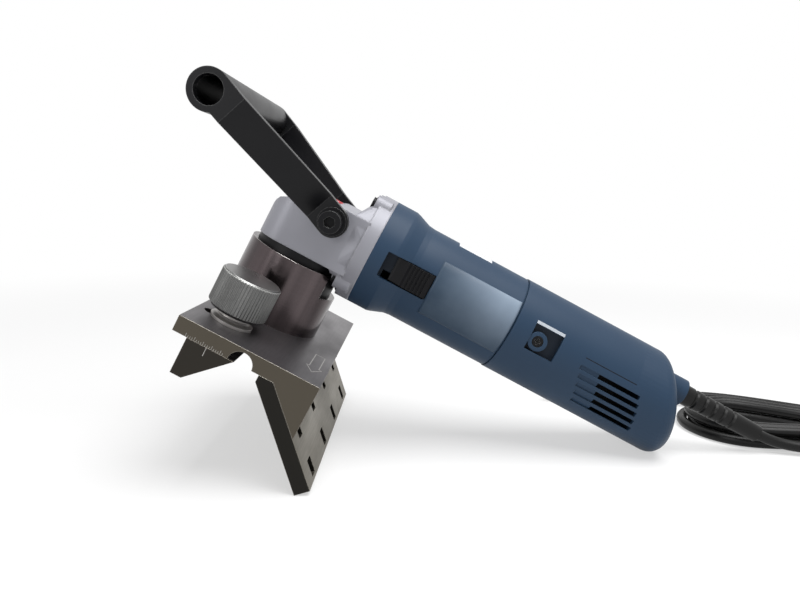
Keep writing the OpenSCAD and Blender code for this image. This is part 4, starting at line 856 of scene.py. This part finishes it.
# %% [markdown]
# The long panel is a film with a painted sheen, a painted reflection that grows
# towards its upper rear corner. A mirror gloss would show the whole studio in it, so
# the reflection is painted as a change of tone along the panel and up it. The small
# white label is plain film, and so is the pale strip on the pocket's rim, which is a
# painted highlight.

# %% Bare labels
RISE_FROM, RISE_TO, RISE_LOW = AXIS_H - 15.0, AXIS_H + 17.0, 0.08
ALONG_FROM, ALONG_TO, ALONG_LOW = 83.0, 124.0, 0.1
PAINTED_SHEEN_SHARE, CLOUD_SIZE, CLOUD_DETAIL, CLOUD_SHARE = 0.9, 0.012, 2.0, 0.06
FILM_DARK, FILM_HIGHLIGHT = (0.018, 0.036, 0.062), (0.22, 0.275, 0.345)
tree, shader = new_finish("panel_film", (0.03, 0.054, 0.088), 0.28, Specular_IOR_Level=0.16)
x, _, z = tool_xyz(tree)
rise = between(tree, z, RISE_LOW, 1.0, RISE_FROM * MM, RISE_TO * MM)
along = between(tree, x, ALONG_LOW, 1.0, ALONG_FROM * MM, ALONG_TO * MM)
cloud = between(tree, grain(tree, CLOUD_SIZE, detail=CLOUD_DETAIL), 0.0, CLOUD_SHARE)
# The panel's sheen is a painted reflection, lightest towards its upper rear corner.
corner = math_node(tree, "MULTIPLY", rise, along)
painted_sheen = math_node(tree, "MULTIPLY_ADD", corner, PAINTED_SHEEN_SHARE, cloud)
link(tree, mixed(tree, painted_sheen, FILM_DARK, FILM_HIGHLIGHT), shader.inputs["Base Color"])
moulded("paper_film", (0.62, 0.63, 0.65), (0.57, 0.58, 0.6), roughness=0.35, cell=0.002,
        depth=0.00001, radius=0.0003)
# A pale film for the painted highlight on the screw pocket's rim.
moulded("painted_rim_highlight", (0.4, 0.43, 0.47), (0.34, 0.37, 0.41), roughness=0.3, cell=0.002,
        depth=0.00001, radius=0.0003)
label("side_panel", (81.2, 134.6), (-33.5, 35.8), HOUSING_R, "panel_film")
label("top_label", (86.0, 109.0), (73.0, 107.0), HOUSING_R, "paper_film")
# The pale strip on the pocket's upper rim is a painted highlight.
label("pocket_rim_highlight", (147.5, 166.5), (22.3, 25.8), COVER_R, "painted_rim_highlight")

# %% [markdown]
# Vents go through both sides of the tail, so the white studio would show through
# the body. On a real machine the motor blocks that view. A dark upright sheet in
# the middle of the tail does the same here: it is painted shade, a black sheet put
# where the inside of the tail lies in shade.

# %% Painted shade sheet in the tail
SHADE_SHEET_X, SHADE_SHEET_Z, SHADE_SHEET_T = (192.0, 232.0), (-23.0, 9.0), 0.8
SHADE_SHEET_ROWS, SHADE_SHEET_COLS = 12, 10
x, z = np.meshgrid(np.linspace(*SHADE_SHEET_X, SHADE_SHEET_ROWS), np.linspace(*SHADE_SHEET_Z, SHADE_SHEET_COLS),
                   indexing="ij")
# A black sheet as painted shade inside the tail.
shade_sheet = make_piece("painted_shade_sheet", to_room(np.stack([x, 0 * x, AXIS_H + z], axis=-1)),
                    grid_faces(SHADE_SHEET_ROWS, SHADE_SHEET_COLS), "machine")
thicken(shade_sheet, SHADE_SHEET_T, 0.0)
shade_sheet.data.materials.append(finishes["switch_black"])

# %% [markdown]
# ## Marks
# Marks on steel are strokes: thin bars laid along a segment, a few hundredths of a
# millimetre proud. They could be painted by a material, but then the shape would be
# lost where only the meshes are used.

# %% Strokes
STROKE_SINK = 0.15
BOX_FACES = np.array([[0, 3, 2, 1], [4, 5, 6, 7], [0, 1, 5, 4],
                      [1, 2, 6, 5], [2, 3, 7, 6], [3, 0, 4, 7]])
BOX_CORNERS = 8


def strokes(starts, ends, width, up, proud):
    """Corner = end point +- width/2 along side, from -sink to +proud along up, with
    side = up x direction."""
    a, b = np.asarray(starts, float), np.asarray(ends, float)
    along = (b - a) / np.linalg.norm(b - a, axis=1, keepdims=True)
    up = np.asarray(up, float)
    side = np.cross(up, along) * width / 2
    ring = [a - side, a + side, b + side, b - side]
    lifts = (-STROKE_SINK * up, proud * up)
    corners = np.stack([corner + lift for lift in lifts for corner in ring], axis=1)
    firsts = BOX_CORNERS * np.arange(len(a))[:, None, None]
    return to_room(corners), (BOX_FACES[None] + firsts).reshape(-1, 4)


def marked(name, starts, ends, width, up, body, slot, finish, proud=0.04):
    """A piece made of strokes in one finish."""
    points, faces = strokes(starts, ends, width, up, proud)
    obj = make_piece(name, points, faces, body, smooth=False)
    obj.data.materials.append(finishes[finish])


print("a stroke is a box of", len(BOX_FACES), "faces")

# %% [markdown]
# An arrow outline on the plate gives the feed direction. A curve with a bevel could
# draw it, but strokes between its corners use what is there already. Its finish is
# bare metal, mottled where the cut is uneven.

# %% Feed arrow
ENGRAVED_CELL = 0.002
ENGRAVED_DARK, ENGRAVED_LIGHT = (0.24, 0.23, 0.22), (0.46, 0.45, 0.43)
tree, shader = new_finish("engraving", (0.4, 0.39, 0.37), roughness=0.45, metallic=0.6)
tone = mixed(tree, grain(tree, ENGRAVED_CELL), ENGRAVED_DARK, ENGRAVED_LIGHT)
link(tree, tone, shader.inputs["Base Color"])

ARROW_AT, ARROW_LINE = np.array([42.6, -55.0]), 0.5
ARROW = np.array([[-3.0, 18.0], [3.0, 18.0], [3.0, -8.5], [4.8, -8.5], [0.0, -18.0],
                  [-4.8, -8.5], [-3.0, -8.5]])
outline = np.column_stack([ARROW + ARROW_AT, np.zeros(len(ARROW))])
marked("feed_arrow", outline, np.roll(outline, -1, axis=0), ARROW_LINE, TOOL_Z,
       "guide_base", "bright_steel", "engraving")

# %% [markdown]
# Short graduations stand along the plate's front edge, every fourth one longer, and
# an index line on the sliding block reads against them. An array modifier could
# repeat one stroke, but not with two lengths. Each mark rides on the body that
# carries it, so the index line moves along the graduations.

# %% Graduations and index line
PLATE_FRONT, FRONT_UP = -92.0, (0, -1, 0)
GRADE_FROM, GRADE_TO, GRADE_STEP, GRADE_Z, GRADE_LINE = -23.5, -2.0, 1.25, -9.0, 0.2
LONG_EVERY, LONG_L, SHORT_L = 4, 2.2, 1.3
grade_x = np.arange(GRADE_FROM, GRADE_TO, GRADE_STEP)
grade_l = np.where(np.arange(len(grade_x)) % LONG_EVERY == 0, LONG_L, SHORT_L)
foot_y, foot_z = np.full(len(grade_x), PLATE_FRONT), np.full(len(grade_x), GRADE_Z)
foot = np.column_stack([grade_x, foot_y, foot_z])
rise = np.column_stack([0 * grade_x, 0 * grade_x, grade_l])
marked("graduations", foot, foot + rise, GRADE_LINE, FRONT_UP,
       "guide_base", "bright_steel", "engraving")
print("graduations:", len(grade_x))

INDEX_X, INDEX_TOP, INDEX_FOOT, INDEX_LINE = -11.0, -9.3, -14.0, 0.35
marked("index_line", [[INDEX_X, PLATE_FRONT, INDEX_TOP]], [[INDEX_X, PLATE_FRONT, INDEX_FOOT]],
       INDEX_LINE, FRONT_UP, "guide_slide", "bright_steel", "engraving")

# %% [markdown]
# A fine dark line runs above the vents of the rear cover. It could be cut as a
# groove, but the solids stay as they are, so it is one more stroke, laid square to
# the barrel's skin.

# %% Line on the rear cover
COVER_LINE_ANGLE, COVER_LINE_X, COVER_LINE, COVER_PROUD = 0.24, (183.6, 223.0), 0.5, 0.03
line_up = np.array([0.0, -math.cos(COVER_LINE_ANGLE), math.sin(COVER_LINE_ANGLE)])
line_at = np.array([0.0, 0.0, AXIS_H]) + COVER_R * line_up
line_ends = [[line_at + [end_x, 0, 0]] for end_x in COVER_LINE_X]
marked("cover_line", *line_ends, COVER_LINE, line_up, "machine", "housing_blue", "switch_black",
       COVER_PROUD)
